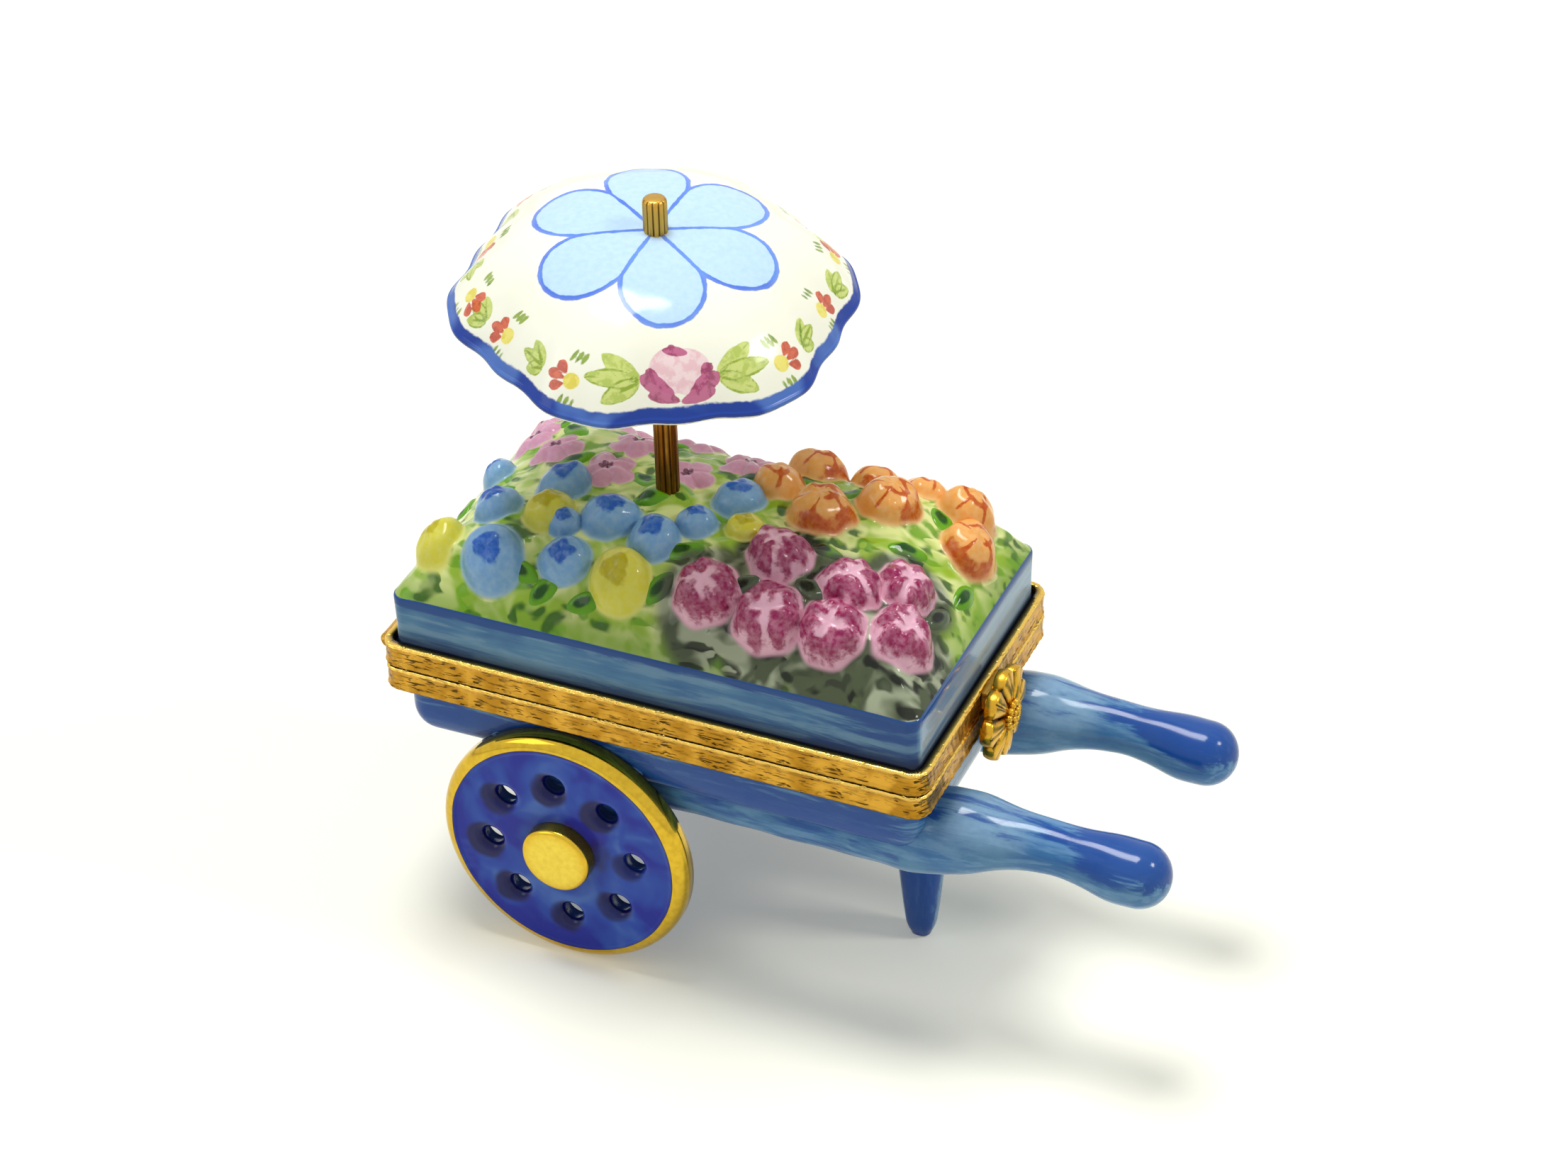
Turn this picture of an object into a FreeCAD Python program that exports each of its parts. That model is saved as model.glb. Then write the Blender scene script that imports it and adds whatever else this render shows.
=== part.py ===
"""Hinged porcelain box in the form of a flower barrow with a parasol.

Millimetres. +Z is up, +X runs towards the handles, -Y is the near side. The origin is on the floor,
under the middle of the bounding box, so the tub's middle sits at BOX_X.
"""
import FreeCAD
import Part
import math
import os

V = FreeCAD.Vector

# Rims: the pair of brass collars round the mouth, and the box's overall size.
RIM_HALF_X = 31.0
RIM_HALF_Y = 18.1
RIM_CORNER = 2.0
RIM_WALL = 0.9
RIM_LOW_Z = 30.85
RIM_PARTING_Z = 33.78
RIM_TOP_Z = 36.7
RIM_GAP = 0.05
RIM_EDGE = 0.28

# Handles end this far from the box's middle, and the hinge barrel this far on the other side.
HANDLE_TIP_X = 54.9
BARREL_RADIUS = 1.05
HINGE_X = -32.1
BOX_X = -(HANDLE_TIP_X + HINGE_X - BARREL_RADIUS) / 2

# How far a cutting form passes the surface that it opens, and the shortest straight side of an outline.
PASS = 1.0
SHORTEST_SIDE = 0.4

# Each shaft lies this far from the barrow's middle plane.
SHAFT_Y = 10.8

# Tub. Its foot curve is given as shares of the inset: how far the wall stands in, and how high.
TUB_HALF_X = 29.6
TUB_HALF_Y = 15.7
TUB_LOW_Z = 24.2
TUB_CORNER = 2.2
TUB_FOOT_INSET = 1.3
TUB_FOOT_CURVE = ((1.0, 0.0), (0.55, 0.3), (0.2, 0.9), (0.0, 2.2))
TUB_INNER_CORNER = 1.5
TUB_FLOOR_EASE = 1.0
WALL = 2.1
SEAT_GRIP = 0.45

# Lid.
LID_HALF_X = 29.75
LID_HALF_Y = 16.85
LID_CORNER = 1.4
LID_SEAT_TOP_Z = 35.9
LID_WALL_TOP_Z = 42.3
MOUND_RISE = 8.7
MOUND_LEVELS = (0.0, 0.22, 0.42, 0.60, 0.76, 0.88, 0.96)
MOUND_POWER_X = 4.6
MOUND_POWER_Y = 3.5
MOUND_CORNER_GROWTH = 5.5
MOUND_CROWN_SHARE = 0.45
MOUND_CROWN_CORNER = 4.0
LID_THICK = 2.2
FOOT_BOSS_RADII = (3.0, 1.75)
FOOT_BOSS_HEIGHT = 2.4
FOOT_BOSS_SINK = 1.0

# Wheels.
WHEEL_X = -10.7
WHEEL_RADIUS = 14.53
WHEEL_FACE_RADIUS = 12.6
WHEEL_FACE_Y = 18.2
WHEEL_TREAD_Y = 16.8
WHEEL_BACK_Y = TUB_HALF_Y
WHEEL_SHOULDER_DROP = 0.45
WHEEL_SHOULDER_DEPTH = 0.75 * (WHEEL_FACE_Y - WHEEL_TREAD_Y)
HUB_RADIUS = 3.95
HUB_FACE_Y = 20.1
HUB_EASE = 0.4
HOLE_COUNT = 8
HOLE_CIRCLE = 8.5
FIRST_HOLE = 0.1
HOLE_MOUTH = 1.9
HOLE_THROAT = 1.1
HOLE_BACK = 1.6
THROAT_DEPTH = 0.9

# Pads between the wheels and the shafts: heights, half widths there, and how far in they reach.
PAD_LOW_Z = 18.9
PAD_HIGH_Z = TUB_LOW_Z + 2.2
PAD_LOW_HALF = 7.4
PAD_HIGH_HALF = 11.6
PAD_INNER_Y = SHAFT_Y - 1.2
PAD_RADIUS = WHEEL_RADIUS - 0.4

# Shafts: stations along X with the height of the middle and the radius.
SHAFT_STATIONS = (
    (-23.2, 23.4, 1.2),
    (-22.0, 23.0, 2.9),
    (-18.0, 22.7, 3.5),
    (-4.0, 22.6, 3.5),
    (10.0, 22.6, 3.5),
    (21.0, 22.8, 3.7),
    (27.0, 23.7, 4.5),
    (30.5, 24.6, 4.8),
    (33.5, 25.1, 4.4),
    (36.5, 25.5, 3.6),
    (40.0, 25.8, 2.95),
    (43.0, 25.9, 2.75),
    (46.0, 25.6, 3.05),
    (49.0, 25.2, 3.5),
    (51.5, 25.1, 3.5),
    (53.6, 25.1, 2.6),
    (HANDLE_TIP_X, 25.1, 0.9),
)

# Leg: heights with the half width along X and along Y, and the share of the latter that is rounded off.
LEG_X = 23.5
LEG_STATIONS = ((0.0, 0.75, 0.75), (0.5, 1.25, 1.2), (1.6, 1.65, 1.55), (4.5, 2.0, 1.8), (9.0, 2.45, 2.1),
                (24.2, 3.3, 2.7))
LEG_ROUND = 0.7

# Hinge.
PIN_RADIUS = 0.5
PIN_CLEARANCE = 0.03
BARREL_HALF_LENGTH = 14.0
KNUCKLE_COUNT = 5
KNUCKLE_GAP = 0.12
PIN_STAND_OUT = 0.25
LEAF_DEPTH = 1.9
LEAF_THICK = 0.6

# Clasp.
CLASP_Z = 32.8
CLASP_BACK_X = 31.9
CLASP_THICK = 1.7
CLASP_FACE_X = CLASP_BACK_X + CLASP_THICK
PETAL_COUNT = 8
PETAL_RADIUS = 1.6
PETAL_CIRCLE = 3.45
PETAL_EASE = 0.35
DAISY_PLATE = 3.6
BOSS_RADIUS = 1.7
BOSS_SINK = 0.7
BEAD_RADIUS = 0.42
BEAD_COUNT = 10
BEAD_SHIFT = 0.1
CLASP_PAD_WIDTH = 4.4
CLASP_PAD_HEIGHT = 2.0
CLASP_PAD_LOW_Z = RIM_PARTING_Z + 0.55
TONGUE_BACK_X = 31.55
TONGUE_FRONT_X = 31.85
TONGUE_WIDTH = 2.6
TONGUE_LOW_Z = RIM_LOW_Z - 0.2
NIB_RADIUS = 0.75
NIB_SINK = 0.3
NIB_Z = 32.1

# Parasol.
POLE_X = -4.6
POLE_Y = -0.8
POLE_RADIUS = 1.25
POLE_TOP_Z = 86.5
POLE_LOW_Z = LID_WALL_TOP_Z + MOUND_RISE - LID_THICK - 3.0
NUT_RADIUS = 2.6
NUT_HEIGHT = 1.6
REED_COUNT = 12
REED_RADIUS = 0.2
REED_CIRCLE = POLE_RADIUS + 0.07
REED_LOW_Z = LID_WALL_TOP_Z + MOUND_RISE + 1.6
COLLAR_RADIUS = 2.3
COLLAR_HEIGHT = 1.7
COLLAR_LAP = 0.2

# Canopy: a six-sided outline given by its sides' distance from the middle. A larger SHARPNESS gives
# tighter corners. Towards the middle it turns into a circle.
CANOPY_X = -5.5
CANOPY_Z = 74.6
CANOPY_SIDES = 6
CANOPY_SIDE_REACH = 19.2
CANOPY_SHARPNESS = 11
CANOPY_CIRCLE = 19.9
CANOPY_CIRCLE_PACE = 1.5
CANOPY_RISE = 8.34
CANOPY_POWER = 3.4
CANOPY_LEVELS = (1.0, 0.96, 0.9, 0.8, 0.66, 0.48, 0.3, 0.2)
CANOPY_TURN = 3.4
CANOPY_TILT_X = 5.4
CANOPY_TILT_Y = 5.5
CANOPY_THICK = 1.7
CANOPY_LIP = 0.9
CANOPY_LIP_TAPER = 0.02
CANOPY_HOLLOW_PASS = 1.2
SCALLOP = 0.2
SCALLOPS_ROUND = 18
SCALLOPED_POINTS = 108
PLAIN_POINTS = 48

# Blossoms: place of the middle on the lid, and radius.
BLUE = ((-26.2, 2.0, 2.2), (-15.8, -2.6, 2.9), (-21.6, -7.0, 2.6), (-8.6, -6.4, 2.9), (-19.0, -13.2, 3.4),
        (-11.2, -12.0, 2.6), (-3.0, -7.8, 2.7), (0.2, -4.2, 2.2), (2.6, 1.2, 2.6), (-13.0, -8.4, 1.8))
YELLOW = ((-26.2, -11.6, 2.9), (-15.2, -7.5, 2.6), (-4.6, -12.6, 3.3), (5.4, -3.3, 2.0))
LILAC = ((-25.2, 9.3, 2.7), (-26.6, 14.0, 2.2), (-12.8, 1.4, 2.6), (-16.4, 13.6, 3.0), (-20.6, 5.0, 2.4),
         (-4.4, 3.6, 2.3), (-7.2, 12.6, 2.6), (0.6, 8.6, 2.6), (-12.0, 7.6, 2.4), (-0.6, 13.4, 2.2))
ORANGE = ((7.0, 11.8, 3.2), (5.2, 5.6, 2.6), (11.6, 2.0, 3.3), (17.0, 7.2, 3.2), (13.4, 12.6, 2.8),
          (18.6, 13.0, 2.8), (23.8, 12.4, 3.2), (25.8, 7.4, 3.2))
MAGENTA = ((10.4, -6.2, 3.0), (4.8, -12.0, 3.2), (12.0, -12.8, 3.4), (18.8, -7.4, 3.0), (23.2, -3.6, 2.9),
           (18.8, -12.8, 3.2), (25.4, -9.8, 3.3))
LEAVES = ((-23.6, -3.2, 20), (-28.0, -2.6, 80), (-17.2, 3.0, 35), (-8.0, 1.2, -30), (-6.0, -2.4, 10),
          (-15.6, -13.6, -10), (-12.6, -14.4, 60), (-7.8, -14.6, 15), (-0.4, -12.4, 70), (0.6, -8.2, 30),
          (14.2, -3.6, 0), (12.6, 7.0, 50), (21.4, 1.6, 20), (27.6, 1.6, 85), (22.4, 8.6, -40),
          (2.2, 5.6, 30), (7.8, 7.8, -20), (26.8, -3.8, 75), (-21.8, 11.4, 40), (-9.4, 10.4, 0),
          (-20.2, 9.0, -30), (8.2, -10.6, 45), (15.2, -9.4, -25))
BLOSSOM_SINK = 0.3
LEAF_HALF_SIZES = (2.3, 0.95, 0.9)
LEAF_LIFT = 0.1
POLE_CLEARING = 3.0
SMALLEST_BIT = 0.15


def rounded_wire(half_x, half_y, corner, z):
    """A rectangle with round corners, as a wire at one height."""
    corner = min(corner, half_x - SHORTEST_SIDE / 2, half_y - SHORTEST_SIDE / 2)
    in_x, in_y = half_x - corner, half_y - corner
    diag = corner * math.sqrt(0.5)
    edges = []
    quarter = ((1, -1), (1, 1), (-1, 1), (-1, -1))
    for index, (sx, sy) in enumerate(quarter):
        centre = V(sx * in_x, sy * in_y, z)
        along_x, along_y = V(sx * corner, 0, 0), V(0, sy * corner, 0)
        first, last = (along_y, along_x) if sx * sy < 0 else (along_x, along_y)
        mid = centre + V(sx * diag, sy * diag, 0)
        edges.append(Part.Arc(centre + first, mid, centre + last).toShape())
        next_x, next_y = quarter[(index + 1) % 4]
        end = V(next_x * in_x, next_y * in_y, z)
        end += V(0, next_y * corner, 0) if next_x * next_y < 0 else V(next_x * corner, 0, 0)
        edges.append(Part.LineSegment(centre + last, end).toShape())
    return Part.Wire(edges)


def stack(levels, ruled=True):
    """A solid through rounded rectangles: each level is half_x, half_y, corner, z."""
    return Part.makeLoft([rounded_wire(*level) for level in levels], True, ruled)


def closed_curve(points):
    """A smooth closed wire through points."""
    curve = Part.BSplineCurve()
    curve.interpolate(Points=points, PeriodicFlag=True)
    return Part.Wire([curve.toShape()])


def mirror_y(shape):
    """The same piece on the far side."""
    return shape.mirror(V(0, 0, 0), V(0, 1, 0))


def mound_half(level):
    """Half sizes of the mound's outline at a fraction of its rise."""
    return (LID_HALF_X * (1 - level) ** (1 / MOUND_POWER_X),
            LID_HALF_Y * (1 - level) ** (1 / MOUND_POWER_Y))


def mound_height(x, y):
    """Height of the mound's surface over a point."""
    level_x = 1 - min(1, abs(x) / LID_HALF_X) ** MOUND_POWER_X
    level_y = 1 - min(1, abs(y) / LID_HALF_Y) ** MOUND_POWER_Y
    return LID_WALL_TOP_Z + MOUND_RISE * min(level_x, level_y)


def make_rim(low_z, high_z):
    """A brass collar with eased edges."""
    outer = stack([
        (RIM_HALF_X - RIM_EDGE, RIM_HALF_Y - RIM_EDGE, RIM_CORNER - RIM_EDGE, low_z),
        (RIM_HALF_X, RIM_HALF_Y, RIM_CORNER, low_z + RIM_EDGE),
        (RIM_HALF_X, RIM_HALF_Y, RIM_CORNER, high_z - RIM_EDGE),
        (RIM_HALF_X - RIM_EDGE, RIM_HALF_Y - RIM_EDGE, RIM_CORNER - RIM_EDGE, high_z)])
    return outer.cut(grip_form(low_z - PASS, high_z + PASS))


def grip_form(low_z, high_z):
    """The upright form that fills a collar from one height to another."""
    half_x, half_y, corner = RIM_HALF_X - RIM_WALL, RIM_HALF_Y - RIM_WALL, RIM_CORNER - RIM_WALL
    return stack([(half_x, half_y, corner, low_z), (half_x, half_y, corner, high_z)])


def make_tub():
    """The porcelain box: a tapered wall under the rim and a wider grip inside it."""
    top = RIM_PARTING_Z - SEAT_GRIP
    outer = tub_body().fuse(grip_form(RIM_LOW_Z, top)).removeSplitter()
    floor = TUB_LOW_Z + WALL
    half_x, half_y = TUB_HALF_X - WALL, TUB_HALF_Y - WALL
    low_x, low_y = half_x - TUB_FLOOR_EASE, half_y - TUB_FLOOR_EASE
    inner = stack([
        (low_x, low_y, TUB_INNER_CORNER, floor),
        (half_x, half_y, TUB_INNER_CORNER, floor + TUB_FLOOR_EASE),
        (half_x, half_y, TUB_INNER_CORNER, top + PASS)])
    return outer.cut(inner)


def tub_body():
    """The solid outer form of the tub under the rim."""
    levels = []
    for stands_in, height in TUB_FOOT_CURVE:
        inset = stands_in * TUB_FOOT_INSET
        levels.append((TUB_HALF_X - inset, TUB_HALF_Y - inset, TUB_CORNER, TUB_LOW_Z + height * TUB_FOOT_INSET))
    levels.append((TUB_HALF_X, TUB_HALF_Y, TUB_CORNER, RIM_LOW_Z))
    return stack(levels)


def make_shaft():
    """Near shaft: a rail under the tub that swells past the end wall and ends in a knob."""
    circles = []
    for x, z, radius in SHAFT_STATIONS:
        circles.append(Part.Wire([Part.Circle(V(x, -SHAFT_Y, z), V(1, 0, 0), radius).toShape()]))
    rail = Part.makeLoft(circles, True, False)
    collar_room = stack([
        (RIM_HALF_X, RIM_HALF_Y, RIM_CORNER, RIM_LOW_Z),
        (RIM_HALF_X, RIM_HALF_Y, RIM_CORNER, RIM_TOP_Z)])
    return rail.cut(tub_body()).cut(collar_room)


def make_leg():
    """The prop under the handle end of the tub."""
    levels = [(half_x, half_y, LEG_ROUND * half_y, z) for z, half_x, half_y in LEG_STATIONS]
    leg = stack(levels)
    leg.translate(V(LEG_X, 0, 0))
    return leg


def disc(radius, near_y, far_y, x=WHEEL_X, z=WHEEL_RADIUS):
    """A cylinder across the barrow, from near_y back to far_y."""
    return Part.makeCylinder(radius, near_y - far_y, V(x, -near_y, z), V(0, 1, 0))


def taper(near_radius, far_radius, near_y, far_y, x=WHEEL_X, z=WHEEL_RADIUS):
    """A cut-off cone across the barrow, from near_y back to far_y."""
    return Part.makeCone(near_radius, far_radius, near_y - far_y, V(x, -near_y, z), V(0, 1, 0))


def make_wheel():
    """Near wheel: a pierced disc with a rounded edge."""
    shoulder_radius = WHEEL_RADIUS - WHEEL_SHOULDER_DROP
    shoulder_y = WHEEL_FACE_Y - WHEEL_SHOULDER_DEPTH
    bevel = taper(WHEEL_FACE_RADIUS, shoulder_radius, WHEEL_FACE_Y, shoulder_y)
    shoulder = taper(shoulder_radius, WHEEL_RADIUS, shoulder_y, WHEEL_TREAD_Y)
    wheel = bevel.fuse(shoulder).fuse(disc(WHEEL_RADIUS, WHEEL_TREAD_Y, WHEEL_BACK_Y)).removeSplitter()
    throat_y = WHEEL_FACE_Y - THROAT_DEPTH
    for index in range(HOLE_COUNT):
        angle = 2 * math.pi * (index + FIRST_HOLE) / HOLE_COUNT
        x = WHEEL_X + HOLE_CIRCLE * math.cos(angle)
        z = WHEEL_RADIUS + HOLE_CIRCLE * math.sin(angle)
        wheel = wheel.cut(taper(HOLE_MOUTH, HOLE_THROAT, WHEEL_FACE_Y, throat_y, x, z))
        wheel = wheel.cut(taper(HOLE_THROAT, HOLE_BACK, throat_y, WHEEL_BACK_Y, x, z))
    return wheel


def make_hub():
    """Near hub: a low boss with an eased edge."""
    body = disc(HUB_RADIUS, HUB_FACE_Y - HUB_EASE, WHEEL_FACE_Y)
    nose = taper(HUB_RADIUS - HUB_EASE, HUB_RADIUS, HUB_FACE_Y, HUB_FACE_Y - HUB_EASE)
    return body.fuse(nose).removeSplitter()


def make_pad(shaft):
    """Near pad: the clay that joins the wheel's back to the rail and the tub's side."""
    outline = ((-PAD_LOW_HALF, PAD_LOW_Z), (PAD_LOW_HALF, PAD_LOW_Z), (PAD_HIGH_HALF, PAD_HIGH_Z),
               (-PAD_HIGH_HALF, PAD_HIGH_Z), (-PAD_LOW_HALF, PAD_LOW_Z))
    outline = Part.makePolygon([V(WHEEL_X + x, -PAD_INNER_Y, z) for x, z in outline])
    block = Part.Face(outline).extrude(V(0, PAD_INNER_Y - WHEEL_BACK_Y, 0))
    block = block.common(disc(PAD_RADIUS, WHEEL_BACK_Y, PAD_INNER_Y - PASS))
    return block.cut(shaft).cut(tub_body())


def lid_form(grow, low_z):
    """The solid form of the lid's wall and mound, grown or shrunk by an even amount."""
    levels = [(LID_HALF_X + grow, LID_HALF_Y + grow, LID_CORNER, low_z),
              (LID_HALF_X + grow, LID_HALF_Y + grow, LID_CORNER, LID_WALL_TOP_Z + grow)]
    for level in MOUND_LEVELS[1:]:
        half_x, half_y = mound_half(level)
        corner = LID_CORNER + MOUND_CORNER_GROWTH * level
        levels.append((half_x + grow, half_y + grow, corner, LID_WALL_TOP_Z + MOUND_RISE * level + grow))
    half_x, half_y = mound_half(MOUND_LEVELS[-1])
    levels.append((MOUND_CROWN_SHARE * half_x, MOUND_CROWN_SHARE * half_y, MOUND_CROWN_CORNER,
                   LID_WALL_TOP_Z + MOUND_RISE + grow))
    return stack(levels)


def pole_rod(radius, low_z, high_z):
    """A rod on the parasol's axis."""
    return Part.makeCylinder(radius, high_z - low_z, V(POLE_X, POLE_Y, low_z))


def make_lid():
    """The hollow lid, with a grip inside the upper rim and a boss at the pole's foot."""
    low_z = RIM_PARTING_Z + RIM_GAP + SEAT_GRIP
    boss_z = mound_height(POLE_X, POLE_Y) - FOOT_BOSS_SINK
    boss = Part.makeCone(*FOOT_BOSS_RADII, FOOT_BOSS_HEIGHT, V(POLE_X, POLE_Y, boss_z))
    outer = lid_form(0, low_z).fuse(grip_form(low_z, LID_SEAT_TOP_Z)).fuse(boss)
    inner = lid_form(-LID_THICK, low_z - PASS)
    return outer.cut(inner).cut(pole_rod(POLE_RADIUS, low_z, POLE_TOP_Z))


def blossom(x, y, radius):
    """A ball that stands a little less than half out of the mound."""
    ball = Part.makeSphere(radius)
    ball.translate(V(x, y, mound_height(x, y) - BLOSSOM_SINK * radius))
    return ball


def leaf(x, y, turn):
    """A pointed leaf that lies in the surface of the mound."""
    matrix = FreeCAD.Matrix()
    matrix.scale(*LEAF_HALF_SIZES)
    shape = Part.makeSphere(1.0).transformGeometry(matrix)
    shape.rotate(V(0, 0, 0), V(0, 0, 1), turn)
    shape.translate(V(x, y, mound_height(x, y) + LEAF_LIFT))
    return shape


def planted(shapes, ground, taken):
    """What stands out of the ground and out of the whole forms that are already there."""
    kept = []
    for shape in shapes:
        piece = shape.cut(ground)
        for other in taken:
            if other.BoundBox.intersect(shape.BoundBox):
                piece = piece.cut(other)
        kept.extend(solid for solid in piece.Solids if solid.Volume > SMALLEST_BIT)
        taken.append(shape)
    return Part.makeCompound(kept)


def knuckle_spans(wanted):
    """Ends along Y of the lower (0) or upper (1) knuckles."""
    length = 2 * BARREL_HALF_LENGTH / KNUCKLE_COUNT
    spans = []
    for index in range(KNUCKLE_COUNT):
        if index % 2 == wanted:
            start = -BARREL_HALF_LENGTH + index * length
            spans.append((start + KNUCKLE_GAP / 2, start + length - KNUCKLE_GAP / 2))
    return spans


def make_knuckles(wanted, bore_radius):
    """Hinge knuckles, each a barrel with a leaf that is soldered to its rim's end."""
    solids = []
    for start, end in knuckle_spans(wanted):
        barrel = Part.makeCylinder(BARREL_RADIUS, end - start, V(HINGE_X, start, RIM_PARTING_Z), V(0, 1, 0))
        reach = -RIM_HALF_X - HINGE_X
        low = RIM_PARTING_Z + RIM_GAP if wanted else RIM_PARTING_Z - RIM_GAP - LEAF_DEPTH
        notch_low = RIM_PARTING_Z + BARREL_RADIUS if wanted else low - BARREL_RADIUS
        plate = Part.makeBox(reach, end - start, LEAF_DEPTH, V(HINGE_X, start, low))
        notch = Part.makeBox(reach, end - start, LEAF_DEPTH, V(HINGE_X - LEAF_THICK, start, notch_low))
        solid = barrel.fuse(plate.cut(notch))
        bore = Part.makeCylinder(bore_radius, end - start + 2 * PASS, V(HINGE_X, start - PASS, RIM_PARTING_Z),
                                 V(0, 1, 0))
        solids.append(solid.cut(bore).removeSplitter())
    return Part.makeCompound(solids)


def make_pin():
    """The hinge pin, a little longer than the barrel."""
    half = BARREL_HALF_LENGTH + PIN_STAND_OUT
    return Part.makeCylinder(PIN_RADIUS, 2 * half, V(HINGE_X, -half, RIM_PARTING_Z), V(0, 1, 0))


def make_nib():
    """The bump on the lower rim under the clasp."""
    ball = Part.makeSphere(NIB_RADIUS, V(RIM_HALF_X - NIB_SINK, 0, NIB_Z))
    size = 2 * NIB_RADIUS
    outside = Part.makeBox(size, size, size, V(RIM_HALF_X, -NIB_RADIUS, NIB_Z - NIB_RADIUS))
    return ball.common(outside)


def make_clasp_pad():
    """The block that holds the daisy off the upper rim."""
    return Part.makeBox(CLASP_BACK_X - RIM_HALF_X, CLASP_PAD_WIDTH, CLASP_PAD_HEIGHT,
                        V(RIM_HALF_X, -CLASP_PAD_WIDTH / 2, CLASP_PAD_LOW_Z))


def make_tongue():
    """The spring strip behind the daisy, in front of the nib."""
    return Part.makeBox(TONGUE_FRONT_X - TONGUE_BACK_X, TONGUE_WIDTH, CLASP_PAD_LOW_Z - TONGUE_LOW_Z,
                        V(TONGUE_BACK_X, -TONGUE_WIDTH / 2, TONGUE_LOW_Z))


def make_daisy():
    """A round plate with petals, facing the handle end."""
    axis = V(1, 0, 0)
    flower = Part.makeCylinder(DAISY_PLATE, CLASP_THICK, V(CLASP_BACK_X, 0, CLASP_Z), axis)
    for index in range(PETAL_COUNT):
        angle = 2 * math.pi * index / PETAL_COUNT
        y, z = PETAL_CIRCLE * math.cos(angle), CLASP_Z + PETAL_CIRCLE * math.sin(angle)
        petal = Part.makeCylinder(PETAL_RADIUS, CLASP_THICK - PETAL_EASE, V(CLASP_BACK_X, y, z), axis)
        crown = Part.makeCone(PETAL_RADIUS, PETAL_RADIUS - PETAL_EASE, PETAL_EASE,
                              V(CLASP_FACE_X - PETAL_EASE, y, z), axis)
        flower = flower.fuse(petal).fuse(crown)
    return flower.removeSplitter()


def make_boss():
    """The domed centre of the daisy inside a ring of beads."""
    boss = Part.makeSphere(BOSS_RADIUS, V(CLASP_FACE_X - BOSS_SINK, 0, CLASP_Z))
    reach = BOSS_RADIUS + BEAD_SHIFT
    for index in range(BEAD_COUNT):
        angle = 2 * math.pi * index / BEAD_COUNT
        place = V(CLASP_FACE_X + BEAD_SHIFT, reach * math.cos(angle), CLASP_Z + reach * math.sin(angle))
        boss = boss.fuse(Part.makeSphere(BEAD_RADIUS, place))
    half = reach + 2 * BEAD_RADIUS
    in_front = Part.makeBox(half, 2 * half, 2 * half, V(CLASP_FACE_X, -half, CLASP_Z - half))
    return boss.common(in_front)


def make_pole():
    """The reeded rod."""
    rod = pole_rod(POLE_RADIUS, POLE_LOW_Z, POLE_TOP_Z)
    length = POLE_TOP_Z + PASS - REED_LOW_Z
    for index in range(REED_COUNT):
        angle = 2 * math.pi * index / REED_COUNT
        x, y = POLE_X + REED_CIRCLE * math.cos(angle), POLE_Y + REED_CIRCLE * math.sin(angle)
        rod = rod.cut(Part.makeCylinder(REED_RADIUS, length, V(x, y, REED_LOW_Z)))
    return rod


def make_nut(lid):
    """The nut that draws the rod up against the inside of the lid."""
    top = LID_WALL_TOP_Z + MOUND_RISE - LID_THICK
    nut = pole_rod(NUT_RADIUS, top - NUT_HEIGHT, top)
    return nut.cut(lid).cut(pole_rod(POLE_RADIUS, POLE_LOW_Z - PASS, top + PASS))


def canopy_edge(angle, scallop):
    """Distance from the middle to the canopy's edge, six-sided with round corners and small waves."""
    total = 0.0
    for side in range(CANOPY_SIDES):
        facing = math.cos(angle - 2 * math.pi * side / CANOPY_SIDES)
        total += max(0.0, facing) ** CANOPY_SHARPNESS
    six_sided = CANOPY_SIDE_REACH * total ** (-1 / CANOPY_SHARPNESS)
    return six_sided - scallop * math.cos(SCALLOPS_ROUND * (angle - math.pi / CANOPY_SIDES))


def canopy_wire(scale, z, scallop):
    """The canopy's outline, drawn in towards the middle and softened there."""
    count = SCALLOPED_POINTS if scallop else PLAIN_POINTS
    round_part = min(1.0, (1 - scale) * CANOPY_CIRCLE_PACE)
    points = []
    for index in range(count):
        angle = 2 * math.pi * index / count
        reach = canopy_edge(angle, scallop) * (1 - round_part) + CANOPY_CIRCLE * round_part
        points.append(V(scale * reach * math.cos(angle), scale * reach * math.sin(angle), z))
    return closed_curve(points)


def dome_form(shrink, rise, low_z, scallop):
    """A solid dome over the canopy's outline. Its middle is level, because the curve is so flat there."""
    edge = 1 - shrink / CANOPY_SIDE_REACH
    wires = [canopy_wire(edge - CANOPY_LIP_TAPER, low_z, scallop)]
    for part in CANOPY_LEVELS:
        wires.append(canopy_wire(edge * part, rise * (1 - part ** CANOPY_POWER), scallop))
    return Part.makeLoft(wires, True, False)


def tilt_canopy(shape):
    """Turn, tilt and lift a piece from the canopy's own frame into the barrow's."""
    shape.rotate(V(0, 0, 0), V(0, 0, 1), CANOPY_TURN)
    shape.rotate(V(0, 0, 0), V(1, 0, 0), CANOPY_TILT_X)
    shape.rotate(V(0, 0, 0), V(0, 1, 0), CANOPY_TILT_Y)
    shape.translate(V(CANOPY_X, 0, CANOPY_Z))
    return shape


def make_canopy():
    """The porcelain shell on the rod."""
    outer = dome_form(0.0, CANOPY_RISE, -CANOPY_LIP, SCALLOP)
    inner = dome_form(CANOPY_THICK, CANOPY_RISE - CANOPY_THICK, -CANOPY_LIP - CANOPY_HOLLOW_PASS, 0)
    shell = tilt_canopy(outer.cut(inner))
    return shell.cut(pole_rod(POLE_RADIUS, LID_WALL_TOP_Z, POLE_TOP_Z))


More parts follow.
